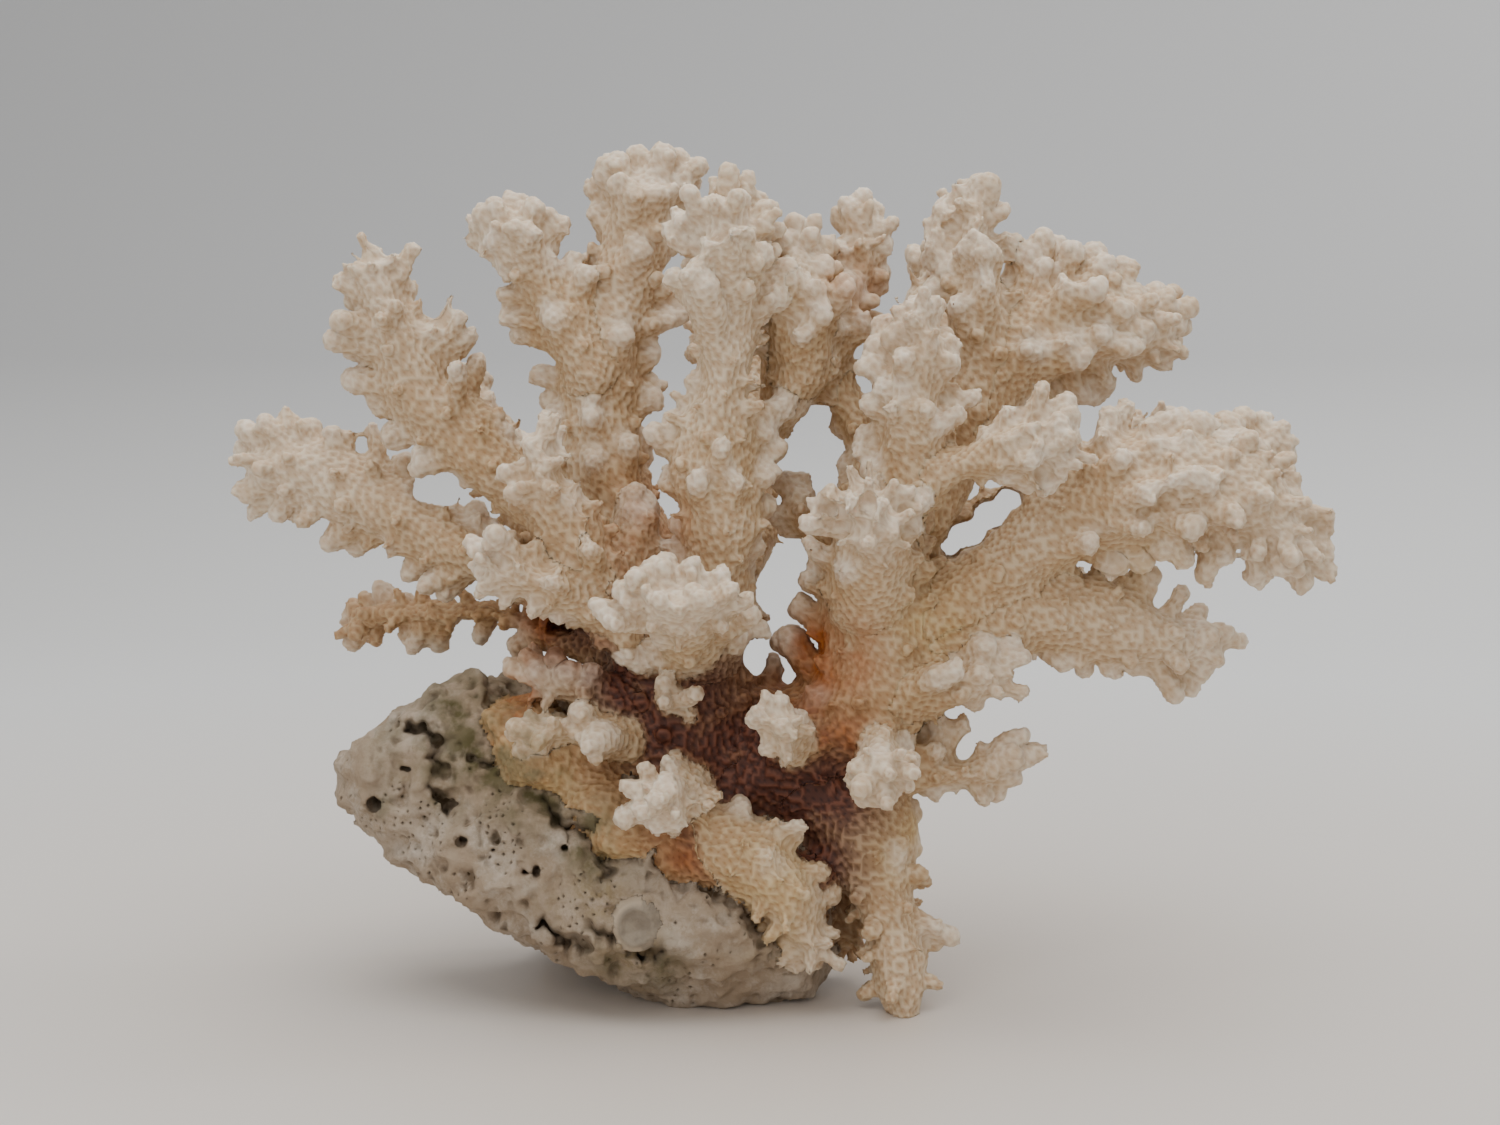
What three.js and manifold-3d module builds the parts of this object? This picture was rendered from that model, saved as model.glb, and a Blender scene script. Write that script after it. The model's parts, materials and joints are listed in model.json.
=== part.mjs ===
// Branching coral specimen: a bush of flattened, knobbly branches on its piece of reef rock.
// Millimetres, +Z up. The viewer stands on the -Y side. The origin is the middle of the
// bounding box on the surface the specimen stands on.
import * as THREE from 'three';
import { mergeVertices } from 'three/addons/utils/BufferGeometryUtils.js';
import Module from 'manifold-3d';

const wasm = await Module();
wasm.setup();

// Driving dimensions
const GAP = 0.4; // clearance between neighbouring pieces
const SIDES = 6; // facets round a branch
const CAP_STEPS = 1; // rings of facets on a branch's rounded end
const CAP_HEIGHT = 0.75; // a rounded end's height as a part of the half thickness
const MOST_LENGTHS = 4; // lengths of facets along a branch
const FACET_SWELL = 1.1; // makes up in area for the facets' flat sides
const TIP_REACH = 0.62; // part of a fingertip's length that its own solid covers
const TIP_GIRTH = 1.1; // a fingertip's half width as a part of its radius
const TIP_BULGE = 0.5; // how far its solid runs past each end, as a part of its radius
const TIP_SWEEP = 0.6; // how far a fingertip's root lies back towards the base, per unit of length
const SHIFT = new THREE.Vector3(1.7, -16.5, 0); // brings the middle of the box to the origin
const FACING = new THREE.Vector3(0, -1, 0); // the broad face of a branch looks at the viewer
const UPWARD = new THREE.Vector3(0, 0, 1); // the face of a branch that grows at the viewer
const STAND = 400; // size of the block that leaves only what is above the surface

// Colours, from the photograph
const CREAM = 0xd3c0a6;
const PALE = 0xe2d6c4;
const TAN = 0xbf9f7c;
const UMBER = 0x6d4a3c;
const STONE = 0xb3a69a;
const SHELL = 0xb9b0a6;

// The branches. spine: [x, y, z, half width, half thickness] from root to end.
// tips: [x, y, z, radius] of the knobs and fingers that stand proud of it.
const BRANCHES = {
  trunk_core: {
    spine: [
      [-28, 8, 39, 14.5, 16], [-24, 8, 49, 16, 17], [-21, 8, 60, 16, 16], [-21, 9, 70, 13.5, 14],
    ],
    tips: [
    ],
  },
  right_trunk: {
    spine: [
      [-10, 8, 43, 10.5, 14], [2, 8, 50, 15, 16], [14, 6, 58, 14.5, 16], [19, 5, 70, 14.5, 15],
      [19, 4, 81, 13.5, 13], [18, 2, 90, 11.5, 12],
    ],
    tips: [
      [2, 7, 81, 3.5], [1, 9, 73, 4],
    ],
  },
  left_arm_low: {
    spine: [
      [-35, 14, 69, 5.5, 6], [-47, 20, 71, 4, 6], [-60, 27, 76, 3, 6], [-74, 33, 75, 4, 6.5],
      [-85, 38, 75, 5, 7], [-92, 41, 72, 4.5, 6],
    ],
    tips: [
      [-75, 35, 68, 3],
    ],
  },
  left_arm_mid: {
    spine: [
      [-36, 14, 79, 7, 9], [-50, 17, 84, 8, 9], [-62, 20, 88, 7, 8], [-74, 22, 94, 8.5, 8],
      [-87, 24, 101, 10.5, 8], [-100, 26, 106, 10, 7.5], [-108, 27, 107, 8, 7],
    ],
    tips: [
      [-105, 27, 118, 3], [-112, 28, 97, 3], [-71, 21, 81, 3], [-96, 25, 91, 3.5],
    ],
  },
  left_fan_high: {
    spine: [
      [-40, 14, 89, 6, 9], [-51, 16, 101, 7.5, 8], [-63, 17, 111, 9.5, 8], [-74, 17, 122, 10.5, 8],
      [-78, 16, 133, 9, 7.5], [-82, 15, 142, 7, 7], [-83, 14, 148, 5.5, 5.5],
    ],
    tips: [
      [-93, 13, 134, 2.5], [-64, 16, 135, 2.5], [-69, 15, 142, 2.5], [-76, 15, 153, 2.5],
    ],
  },
  left_front_blade: {
    spine: [
      [-32, 2, 74, 7, 9], [-37, -2, 84, 9, 10], [-43, -7, 97, 8.5, 9], [-47, -10, 107, 6, 8],
      [-47, -11, 113, 4.5, 6.5],
    ],
    tips: [
      [-29, 4, 101, 5.5], [-28, 6, 93, 4.5], [-55, -13, 109, 3],
    ],
  },
  left_front_palm: {
    spine: [
      [-33, -2, 78, 6, 8], [-42, -8, 85, 7, 8], [-51, -12, 88, 6.5, 7.5], [-56, -13, 89, 5.5, 7],
    ],
    tips: [
      [-38, -17, 95, 2.5], [-57, -19, 97, 2.5], [-46, -20, 88, 2.5],
    ],
  },
  tall_stem: {
    spine: [
      [-27, 12, 70, 8.5, 10], [-32, 13, 87, 10, 10], [-36, 14, 103, 10.5, 9.5], [-38, 15, 118, 10.5, 9],
      [-37, 15, 133, 10, 9], [-33, 15, 144, 9, 8.5], [-29, 15, 156, 8.5, 8], [-27, 15, 162, 9, 7.5],
      [-27, 15, 164, 8, 6],
    ],
    tips: [
      [-19, 17, 143, 3], [-40, 17, 165, 3], [-30, 5, 164, 2.5], [-25, 13, 172, 3],
    ],
  },
  mushroom_left: {
    spine: [
      [-39, 10, 127, 7, 7], [-44, 10, 137, 7, 7], [-49, 9, 145, 5.5, 6.5], [-53, 8, 151, 5.5, 7],
      [-54, 8, 155, 6.5, 6],
    ],
    tips: [
      [-57, 9, 138, 2.5], [-44, 8, 157, 2.5], [-40, 6, 148, 2.5],
    ],
  },
  centre_column: {
    spine: [
      [-17, 4, 70, 9, 11], [-14, 0, 86, 9.5, 11], [-13, -3, 100, 10.5, 11], [-14, -4, 114, 10.5, 10],
      [-12, -5, 127, 7.5, 10], [-11, -6, 139, 7.5, 9.5], [-12, -7, 148, 9, 10], [-12, -8, 155, 9.5, 10],
    ],
    tips: [
      [0, -1, 122, 3.5], [-18, -21, 148, 3], [-10, -22, 155, 3], [0, -5, 147, 3],
    ],
  },
  centre_right_fork: {
    spine: [
      [-8, 6, 111, 5, 8], [3, 10, 124, 6.5, 9], [9, 12, 132, 8.5, 9], [13, 14, 142, 6, 8],
      [16, 15, 151, 5.5, 7], [16, 15, 157, 4, 5.5],
    ],
    tips: [
      [8, 11, 154, 2.5], [7, 0, 133, 2.5], [-1, 4, 137, 3], [11, 17, 159, 2.5],
    ],
  },
  centre_right_crown: {
    spine: [
      [3, 4, 127, 7, 8], [3, 2, 138, 7, 8], [3, 2, 147, 6.5, 7.5], [3, 2, 151, 5.5, 5.5],
    ],
    tips: [
      [12, -4, 145, 3], [3, -8, 136, 2.5], [1, -7, 147, 2.5],
    ],
  },
  arch_branch: {
    spine: [
      [11, 14, 125, 5.5, 6], [15, 12, 115, 4.5, 6], [15, 9, 107, 4.5, 6], [16, 6, 100, 5.5, 7],
    ],
    tips: [
    ],
  },
  gap_twig: {
    spine: [
      [10, 10, 92, 3.5, 5], [4, 12, 97, 3.5, 5], [2, 13, 103, 3, 5],
    ],
    tips: [
    ],
  },
  right_front_head: {
    spine: [
      [16, -3, 84, 9, 10], [17, -11, 94, 9.5, 10], [16, -17, 100, 8, 9],
    ],
    tips: [
      [4, -18, 99, 3], [4, -6, 94, 2.5], [27, -15, 103, 3],
    ],
  },
  small_tree: {
    spine: [
      [20, 0, 89, 7, 8], [22, -3, 101, 7.5, 8], [24, -6, 112, 8, 8.5], [25, -8, 121, 7.5, 8],
      [26, -9, 130, 6, 7.5], [26, -9, 137, 4.5, 7],
    ],
    tips: [
      [37, -8, 123, 3], [17, -7, 133, 2.5], [15, -10, 122, 3], [27, -18, 122, 3],
    ],
  },
  right_hand: {
    spine: [
      [24, -6, 102, 5.5, 7], [32, -9, 109, 6, 7], [40, -11, 111, 5.5, 7], [47, -13, 112, 6.5, 7.5],
      [51, -14, 113, 6, 7],
    ],
    tips: [
      [49, -14, 125, 2.5], [51, -14, 105, 3], [56, -14, 119, 2.5],
    ],
  },
  upper_right_tower: {
    spine: [
      [29, 10, 97, 7, 8], [34, 12, 113, 9, 9], [39, 13, 129, 9.5, 9], [39, 13, 142, 8.5, 9],
      [38, 13, 152, 7, 8.5], [38, 13, 160, 5.5, 7.5],
    ],
    tips: [
      [39, 1, 152, 2.5], [29, 13, 156, 2.5], [46, 15, 155, 2.5], [39, 13, 164, 4.5],
    ],
  },
  upper_right_fan: {
    spine: [
      [37, 12, 115, 7.5, 8], [44, 14, 127, 9.5, 8.5], [52, 15, 135, 11.5, 9], [61, 16, 137, 12.5, 8.5],
      [69, 17, 137, 10.5, 8], [75, 18, 136, 8, 7.5],
    ],
    tips: [
      [53, 16, 155, 2.5], [65, 18, 122, 3], [65, 6, 135, 3], [73, 19, 126, 3],
    ],
  },
  right_arm: {
    spine: [
      [16, 6, 73, 10, 11], [29, 5, 79, 9, 11], [44, 4, 88, 8.5, 10.5], [56, 3, 99, 11.5, 10],
      [68, 2, 104, 12.5, 10], [80, 1, 104, 12.5, 10], [91, 0, 102, 11, 9.5], [99, 0, 96, 7.5, 8.5],
    ],
    tips: [
      [109, 0, 87, 3], [84, 0, 86, 2.5], [69, 4, 121, 3], [94, 0, 86, 2.5],
    ],
  },
  right_arm_crown: {
    spine: [
      [82, 4, 108, 5, 7], [91, 6, 112, 5, 7], [96, 7, 112, 4.5, 5.5],
    ],
    tips: [
      [100, 9, 104, 2.5], [93, 7, 119, 3],
    ],
  },
  right_arm_low: {
    spine: [
      [28, 4, 72, 8.5, 9], [42, 5, 77, 9, 9], [55, 6, 79, 11, 9], [67, 7, 76, 10, 8.5],
      [78, 8, 73, 7.5, 8], [84, 9, 73, 5, 6.5],
    ],
    tips: [
      [80, 7, 61, 2.5], [94, 11, 72, 3], [74, 9, 87, 3], [81, 8, 83, 3],
    ],
  },
  right_side_fan: {
    spine: [
      [19, 0, 62, 8, 8], [29, -2, 64, 7, 8], [37, -4, 66, 5.5, 7], [41, -5, 67, 4.5, 5.5],
    ],
    tips: [
      [48, -5, 71, 2.5], [40, -6, 74, 2.5], [30, -13, 68, 2.5],
    ],
  },
  right_lower_fan: {
    spine: [
      [19, 3, 48, 7.5, 8], [29, 2, 47, 6, 7], [39, 1, 47, 4.5, 6.5], [43, 1, 48, 4, 5],
    ],
    tips: [
      [52, 2, 51, 2.5], [32, 2, 56, 3.5], [40, 0, 41, 2.5],
    ],
  },
  foot_leg: {
    spine: [
      [4, 6, 44, 12, 13], [14, 2, 36, 12, 12.5], [18, -1, 27, 9.5, 11], [22, -4, 16, 8, 9.5],
      [23, -6, 7, 7, 9], [24, -7, 0, 6.5, 8.5],
    ],
    tips: [
      [34, -5, 14, 2.5],
    ],
  },
  rear_leg: {
    spine: [
      [8, 16, 27, 5.5, 7], [12, 14, 18, 6, 7], [13, 12, 11, 5.5, 7],
    ],
    tips: [
    ],
  },
  lower_front_lobe: {
    spine: [
      [-23, -4, 34, 7, 8.5], [-14, -9, 34, 8.5, 9], [-5, -12, 31, 9.5, 9], [1, -12, 23, 7.5, 8],
      [5, -10, 14, 4.5, 6.5],
    ],
    tips: [
      [3, -14, 39, 3],
    ],
  },
  front_star: {
    spine: [
      [-19, -2, 69, 9, 8], [-19, -14, 76, 11.5, 8], [-20, -26, 83, 12.5, 8],
    ],
    tips: [
      [-4, -11, 77, 2.5], [-35, -24, 83, 3], [-32, -11, 72, 3],
    ],
  },
  front_cluster_low: {
    spine: [
      [-17, 0, 43, 6, 7], [-20, -12, 45, 8, 7], [-23, -24, 46, 8.5, 7],
    ],
    tips: [
      [-12, 10, 46, 3], [-22, -5, 53, 3], [-25, -33, 48, 3],
    ],
  },
  front_knob_mid: {
    spine: [
      [4, 2, 52, 5, 6], [1, -10, 56, 4.5, 6], [-1, -20, 60, 4, 5.5],
    ],
    tips: [
      [-5, -19, 55, 3], [-1, -20, 66, 3],
    ],
  },
  front_knob_right: {
    spine: [
      [19, -4, 52, 7, 8], [18, -16, 52, 7.5, 7.5], [18, -24, 52, 7, 7],
    ],
    tips: [
    ],
  },
  oval_stub: {
    spine: [
      [-22, -2, 62, 4, 3], [-22, -10, 63, 4.5, 3],
    ],
    tips: [
    ],
  },
  left_knob_upper: {
    spine: [
      [-34, 0, 62, 7, 8], [-42, -4, 65, 6, 7], [-48, -6, 67, 4.5, 6],
    ],
    tips: [
      [-55, -6, 69, 3],
    ],
  },
  left_knob_lower: {
    spine: [
      [-33, -4, 55, 5, 7], [-41, -10, 57, 3.5, 6], [-48, -13, 58, 3.5, 5.5],
    ],
    tips: [
      [-38, -18, 56, 4], [-53, -13, 58, 3],
    ],
  },
  rear_left: {
    spine: [
      [-32, 20, 72, 8, 7], [-52, 36, 94, 8, 7], [-66, 46, 114, 9, 7], [-70, 50, 121, 8, 5],
    ],
    tips: [
      [-72, 52, 126, 3], [-70, 44, 112, 3],
    ],
  },
  rear_high_left: {
    spine: [
      [-27, 22, 85, 8, 8], [-37, 38, 112, 8, 7], [-41, 48, 136, 9, 7], [-42, 51, 145, 8, 5],
    ],
    tips: [
      [-45, 54, 150, 3], [-42, 56, 140, 3],
    ],
  },
  rear_centre: {
    spine: [
      [-8, 20, 80, 9, 8], [-9, 40, 106, 9, 8], [-10, 54, 128, 11, 8], [-10, 58, 138, 10, 6],
    ],
    tips: [
      [-14, 61, 145, 3], [-10, 65, 132, 3],
    ],
  },
  rear_right_high: {
    spine: [
      [18, 15, 92, 9, 8], [28, 34, 118, 9, 7], [35, 47, 140, 11, 7], [37, 51, 149, 9, 5],
    ],
    tips: [
      [34, 54, 155, 3], [37, 57, 143, 3],
    ],
  },
  rear_right: {
    spine: [
      [24, 15, 80, 9, 8], [50, 33, 97, 9, 7.5], [74, 45, 107, 10, 7], [83, 49, 110, 8, 5],
    ],
    tips: [
      [92, 52, 112, 3], [78, 54, 108, 3],
    ],
  },
  rear_right_low: {
    spine: [
      [24, 14, 64, 8, 8], [46, 29, 71, 8, 7], [62, 38, 75, 8, 6], [69, 41, 77, 6, 4.5],
    ],
    tips: [
      [75, 43, 78, 3], [54, 34, 79, 3],
    ],
  },
  rear_low: {
    spine: [
      [-18, 20, 56, 9, 9], [-20, 38, 60, 9, 8], [-21, 54, 66, 10, 7], [-22, 60, 68, 9, 5],
    ],
    tips: [
      [-25, 64, 75, 3], [-22, 66, 68, 3],
    ],
  },
};

// Branches that grow straight at the viewer, so that their face looks up
const FORWARD = ['front_star', 'front_cluster_low', 'front_knob_mid', 'front_knob_right',
  'oval_stub', 'rear_low'];

const COLOURS = {
  trunk_core: UMBER,
  right_trunk: TAN,
  left_arm_low: UMBER,
  arch_branch: TAN,
  rear_leg: UMBER,
  lower_front_lobe: TAN,
  front_star: PALE,
  front_cluster_low: PALE,
  front_knob_mid: PALE,
  front_knob_right: PALE,
  centre_column: PALE,
};

// The rock: [x, y, z, radius x, radius y, radius z] of its boulders, and of its hollows
const BOULDERS = [
  [-58, 14, 41, 28, 25, 21], [-20, 11, 22, 34, 29, 24],
];
const SMALL_BOULDERS = [
  [-79, 12, 44, 15, 19, 17], [-46, 27, 12, 14, 15, 15], [-37, 6, 34, 27, 26, 20],
  [-65, 12, 55, 16, 15, 12],
];
const HOLLOWS = [
  [-83, -4, 41, 3, 4, 2.5], [-46, -17, 34, 7, 4, 3], [-62, -12, 33, 3, 4, 3],
];
const ROCK_DETAIL = 2;
const SMALL_DETAIL = 1;
const ROCK_ROUGH = 0.1; // depth of the rock's waves as a part of a boulder's radius
const LONG_WAVE = 30; // millimetres from crest to crest
const SHORT_WAVE = 14;
const SHORT_SHARE = 0.6; // the short waves' depth as a part of the long waves'
const SHELL_CENTRE = [-28, -17, 20];
const SHELL_RADII = [5, 3.5, 5.5];

function solidFrom(geometry) {
  const bare = geometry.clone();
  bare.deleteAttribute('normal');
  bare.deleteAttribute('uv');
  const merged = mergeVertices(bare, 1e-4);
  const vertProperties = new Float32Array(merged.attributes.position.array);
  const triVerts = new Uint32Array(merged.index.array);
  return new wasm.Manifold(new wasm.Mesh({ numProp: 3, vertProperties, triVerts }));
}

function geometryFrom(solid) {
  const mesh = solid.getMesh();
  const geometry = new THREE.BufferGeometry();
  geometry.setAttribute('position', new THREE.BufferAttribute(mesh.vertProperties, 3));
  geometry.setIndex(new THREE.BufferAttribute(mesh.triVerts, 1));
  const faceted = geometry.toNonIndexed();
  faceted.computeVertexNormals();
  return faceted;
}

function joined(solids) {
  return solids.reduce((sum, solid) => sum.add(solid));
}

// A spine is a smooth curve through its stations, with the section's two half sizes
function makeSpine(stations, face) {
  const points = stations.map(([x, y, z]) => new THREE.Vector3(x, y, z));
  const curve = new THREE.CatmullRomCurve3(points, false, 'catmullrom', 0.5);
  const last = stations.length - 1;
  const at = (t) => {
    const place = Math.min(Math.max(t, 0), 1) * last;
    const i = Math.min(Math.floor(place), last - 1);
    const k = place - i;
    const wide = stations[i][3] * (1 - k) + stations[i + 1][3] * k;
    const thick = stations[i][4] * (1 - k) + stations[i + 1][4] * k;
    const centre = curve.getPoint(Math.min(Math.max(t, 0), 1));
    const along = curve.getTangent(Math.min(Math.max(t, 0), 1));
    const side = new THREE.Vector3().crossVectors(along, face).normalize();
    const normal = new THREE.Vector3().crossVectors(side, along).normalize();
    return { centre, along, side, normal, wide, thick };
  };
  return { at, count: stations.length, length: curve.getLength() };
}

// A capsule bent along the spine: an oval section that tapers, closed by rounded ends
function branchBody(spine, grow) {
  const lengths = Math.min(spine.count - 1, MOST_LENGTHS);
  const capsule = new THREE.CapsuleGeometry(1, 1, CAP_STEPS, SIDES, lengths);
  const position = capsule.attributes.position;
  for (let i = 0; i < position.count; i += 1) {
    const height = position.getY(i);
    const beyond = Math.max(Math.abs(height) - 0.5, 0) * Math.sign(height);
    const station = spine.at(height - beyond + 0.5);
    const reach = beyond * (Math.min(station.thick, station.wide) * CAP_HEIGHT + grow);
    const point = station.centre.clone()
      .addScaledVector(station.side, position.getX(i) * (station.wide * FACET_SWELL + grow))
      .addScaledVector(station.normal, position.getZ(i) * (station.thick * FACET_SWELL + grow))
      .addScaledVector(station.along, reach);
    position.setXYZ(i, point.x, point.y, point.z);
  }
  return solidFrom(capsule);
}

// The spine's nearest station to a tip, taken back towards the root so that the finger leans out
function rootOf(spine, tip) {
  let nearest = Infinity;
  let place = 0;
  const steps = spine.count * 8;
  for (let i = 0; i <= steps; i += 1) {
    const gap = spine.at(i / steps).centre.distanceTo(tip);
    if (gap < nearest) {
      nearest = gap;
      place = i / steps;
    }
  }
  return spine.at(place - (TIP_SWEEP * nearest) / spine.length).centre;
}

// A finger: a faceted ball drawn out along the line from its root, ending at the tip
function finger(spine, [x, y, z, radius], grow) {
  const tip = new THREE.Vector3(x, y, z);
  const root = rootOf(spine, tip);
  const along = new THREE.Vector3().subVectors(tip, root);
  const reach = Math.max((along.length() * TIP_REACH) / 2, radius);
  along.normalize();
  const ball = new THREE.IcosahedronGeometry(1, 0);
  const girth = radius * TIP_GIRTH + grow;
  ball.scale(girth, reach + radius * TIP_BULGE + grow, girth);
  ball.applyQuaternion(new THREE.Quaternion().setFromUnitVectors(new THREE.Vector3(0, 1, 0), along));
  const centre = tip.clone().addScaledVector(along, radius * TIP_BULGE - reach);
  ball.translate(centre.x, centre.y, centre.z);
  return solidFrom(ball);
}

function branch(name, grow) {
  const { spine: stations, tips } = BRANCHES[name];
  const spine = makeSpine(stations, FORWARD.includes(name) ? UPWARD : FACING);
  const fingers = tips.map((tip) => finger(spine, tip, grow));
  return joined([branchBody(spine, grow), ...fingers]);
}

// Waves of two lengths crossed together, about -1 to 1
function craggy(x, y, z) {
  const crossed = (length) => {
    const turn = (2 * Math.PI) / length;
    return Math.sin((x + z / 2) * turn) * Math.sin(y * turn + 1) * Math.sin((z + x / 4) * turn);
  };
  return (crossed(LONG_WAVE) + SHORT_SHARE * crossed(SHORT_WAVE)) / (1 + SHORT_SHARE);
}

function ellipsoid([x, y, z, rx, ry, rz], detail, rough) {
  const ball = new THREE.IcosahedronGeometry(1, detail);
  const position = ball.attributes.position;
  for (let i = 0; i < position.count; i += 1) {
    const px = x + position.getX(i) * rx;
    const py = y + position.getY(i) * ry;
    const pz = z + position.getZ(i) * rz;
    const swell = rough * craggy(px, py, pz);
    position.setXYZ(i, px + (px - x) * swell, py + (py - y) * swell, pz + (pz - z) * swell);
  }
  return solidFrom(ball);
}

function rock(grow) {
  const bigger = (values) => values.map((value, i) => (i < 3 ? value : value + grow));
  const boulder = (detail) => (values) => ellipsoid(bigger(values), detail, ROCK_ROUGH);
  const mass = joined([...BOULDERS.map(boulder(ROCK_DETAIL)), ...SMALL_BOULDERS.map(boulder(SMALL_DETAIL))]);
  if (grow > 0) {
    return mass;
  }
  return HOLLOWS.reduce((left, hollow) => left.subtract(ellipsoid(hollow, 0, 0)), mass);
}

function shell(grow) {
  const radii = SHELL_RADII.map((radius) => radius + grow);
  return ellipsoid([...SHELL_CENTRE, ...radii], 1, 0);
}

// What stands above the surface
function aboveSurface(solid) {
  const block = new THREE.BoxGeometry(STAND, STAND, STAND);
  block.translate(0, 0, STAND / 2);
  return solid.intersect(solidFrom(block));
}

function largestPiece(solid) {
  const pieces = solid.decompose();
  pieces.sort((a, b) => b.volume() - a.volume());
  return pieces[0];
}

// Each piece is cut back from those before it in this order, so that neighbours never overlap
const MAKERS = new Map([['round_shell', shell], ['base_rock', rock]]);
Object.keys(BRANCHES).forEach((name) => MAKERS.set(name, (grow) => branch(name, grow)));
COLOURS.round_shell = SHELL;
COLOURS.base_rock = STONE;

const specimen = new THREE.Group();
const placed = [];
MAKERS.forEach((make, name) => {
  const whole = make(0);
  const touching = placed.filter((other) => !other.intersect(whole).isEmpty());
  const cut = touching.length > 0 ? whole.subtract(joined(touching)) : whole;
  const solid = largestPiece(aboveSurface(cut));
  placed.push(make(GAP));
  const colour = COLOURS[name] ?? CREAM;
  const material = new THREE.MeshStandardMaterial({ color: colour, roughness: 0.85, metalness: 0 });
  const mesh = new THREE.Mesh(geometryFrom(solid), material);
  mesh.name = name;
  mesh.position.copy(SHIFT);
  specimen.add(mesh);
});

export default specimen;
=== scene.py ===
"""Branching coral specimen on its piece of reef rock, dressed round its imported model."""
import json
import math
import bpy
import numpy as np
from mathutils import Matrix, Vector


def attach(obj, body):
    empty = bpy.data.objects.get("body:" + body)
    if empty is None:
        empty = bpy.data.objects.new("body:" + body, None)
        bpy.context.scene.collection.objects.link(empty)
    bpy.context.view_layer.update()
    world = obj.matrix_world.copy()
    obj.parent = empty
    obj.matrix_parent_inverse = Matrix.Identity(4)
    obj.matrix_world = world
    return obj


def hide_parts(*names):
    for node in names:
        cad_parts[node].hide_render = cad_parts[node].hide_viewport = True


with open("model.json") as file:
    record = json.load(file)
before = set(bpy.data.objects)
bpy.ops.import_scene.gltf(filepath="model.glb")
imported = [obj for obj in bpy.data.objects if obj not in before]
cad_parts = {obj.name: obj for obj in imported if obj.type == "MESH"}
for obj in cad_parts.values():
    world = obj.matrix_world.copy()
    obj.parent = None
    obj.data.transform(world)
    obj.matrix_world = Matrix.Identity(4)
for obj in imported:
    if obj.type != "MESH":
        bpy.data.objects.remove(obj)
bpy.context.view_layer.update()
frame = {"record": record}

MM = 0.001
VOXEL = 0.52  # mm, the grid that the coral's surface is worked out on
ROCK_KEPT = 0.72  # the part of the rock's faces that is kept: it is smoother than the coral
SHIFT = (1.7, -16.5, 0.0)  # the model's origin as seen from the branches' own axes
FIELD_LOW = (-119.0, -40.0, -1.6)  # mm, the grid's corners
FIELD_HIGH = (116.0, 72.0, 176.0)
FAR = 6.0  # mm, a distance that counts as well outside
NEAR = 3.0  # mm round a body within which its distance is worked out
TINY = 1e-6  # keeps a division from failing
BRANCH_BLEND = 3.6  # mm, how softly two branches grow together
FINGER_BLEND = 1.2  # mm, how softly a finger grows out of its branch
WART_BLEND = 1.1  # the same for a wart
WART_GAP = 3.9  # mm between warts
WART_SINK = 1.5  # mm that a wart's root lies in the branch
WART_DIP = 0.8  # mm that its end lies lower than its length
WART_MARGIN = 1.5  # mm round a wart within which its distance is worked out
WART_TAPER = 1.2  # how much thicker a wart is at its root
SPINE_STEP = 1.6  # mm between a spine's samples
BODY_SHRINK = 1.3  # mm taken off a branch's half width, made up again by its knobs
END_SHRINK = 1.5  # mm more of that at its end
LEAST_HALF = 1.5  # mm, a branch's least half width
SWELL = 0.16  # how much a branch's width comes and goes along it
TIP_SWEEP = 0.6  # how far a finger's root lies back towards the base, per unit of length
FACE_SWEEP = 0.9  # the same, added for one that stands on a branch's flat face
TIP_SINK = 0.7  # mm that each finger ends short of its mark, for the knobs it carries
FACE_SINK = 1.3  # mm that such a one is shorter
FACE_BLEND = 1.2  # mm that it blends more softly
FINGER_TAPER = 1.25  # how much thicker a finger is at its root
LEAST_RADIUS = 2.1  # mm, the thinnest finger
BUDS = 2  # buds on each finger
BUD_REACH = 0.85  # how far a bud stands off its finger's end, in finger radii
BUD_ROOT = 0.6  # a bud's radius at its root, in finger radii
CRACK_DEPTH = 3.5  # mm at the middle of a crack in the rock
CRACK_WIDTH = 1.7  # a crack's reach to each side, per unit of its half width
CRACK_BACK = 8.0  # mm, the depth that the cracks end at
BROAD_WANDER = 0.8  # mm that a crack's line swings to each side
FINE_WANDER = 0.5  # mm more, in shorter waves
BOULDER_BLEND = 5.0  # mm, how softly boulders grow together
BREAK_BLEND = 2.5  # mm, how round a break's edge is
ROUGH_REACH = 5.0  # mm from the skin within which it is roughened
ROUGH_MEAN = 2.2  # mm that the rock's waves take off on the whole
HOLLOW_GROWTH = 0.8  # mm that a hollow is larger than its oval
HOLLOW_BLEND = 0.8  # mm, how round a hollow's edge is
ROCK_BLEND = 1.5  # mm, how softly rock and crust meet
CRUST_BLEND = 4.0  # mm, how softly the crust's ovals grow together
OPENING_BLEND = 1.5  # mm, how round an opening's edge is
MARGIN = 12.0  # mm round an opening or the shell
DISH_FRONT = 1.3  # how far the shell's dish lies in front of it, in half thicknesses
DISH_SIZE = 0.78  # the dish's radius, as a part of the shell's
SHELL_BLEND = 0.6  # mm, how round the shell's edges are
SHELL_LEAD = 0.4  # mm by which the shell shows before the rock
KNOB_CELL = 4.6  # mm from one low knob of the skin to the next
KNOB_RADIUS = 0.62  # a knob's reach, as a part of that
CUP_DEPTH = 0.5  # mm
CUP_RING = 0.6  # how deep a cup's neighbours lie, as a part of its own depth
PORE_DEPTH = 0.7  # mm, the rock's pores
PORE_SHARE = 0.07  # the part of the rock's points that may be a pore
CRUMB_RISE = 0.5  # mm that the rock stands out where nothing has crumbled
AXES = np.eye(3)
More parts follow.
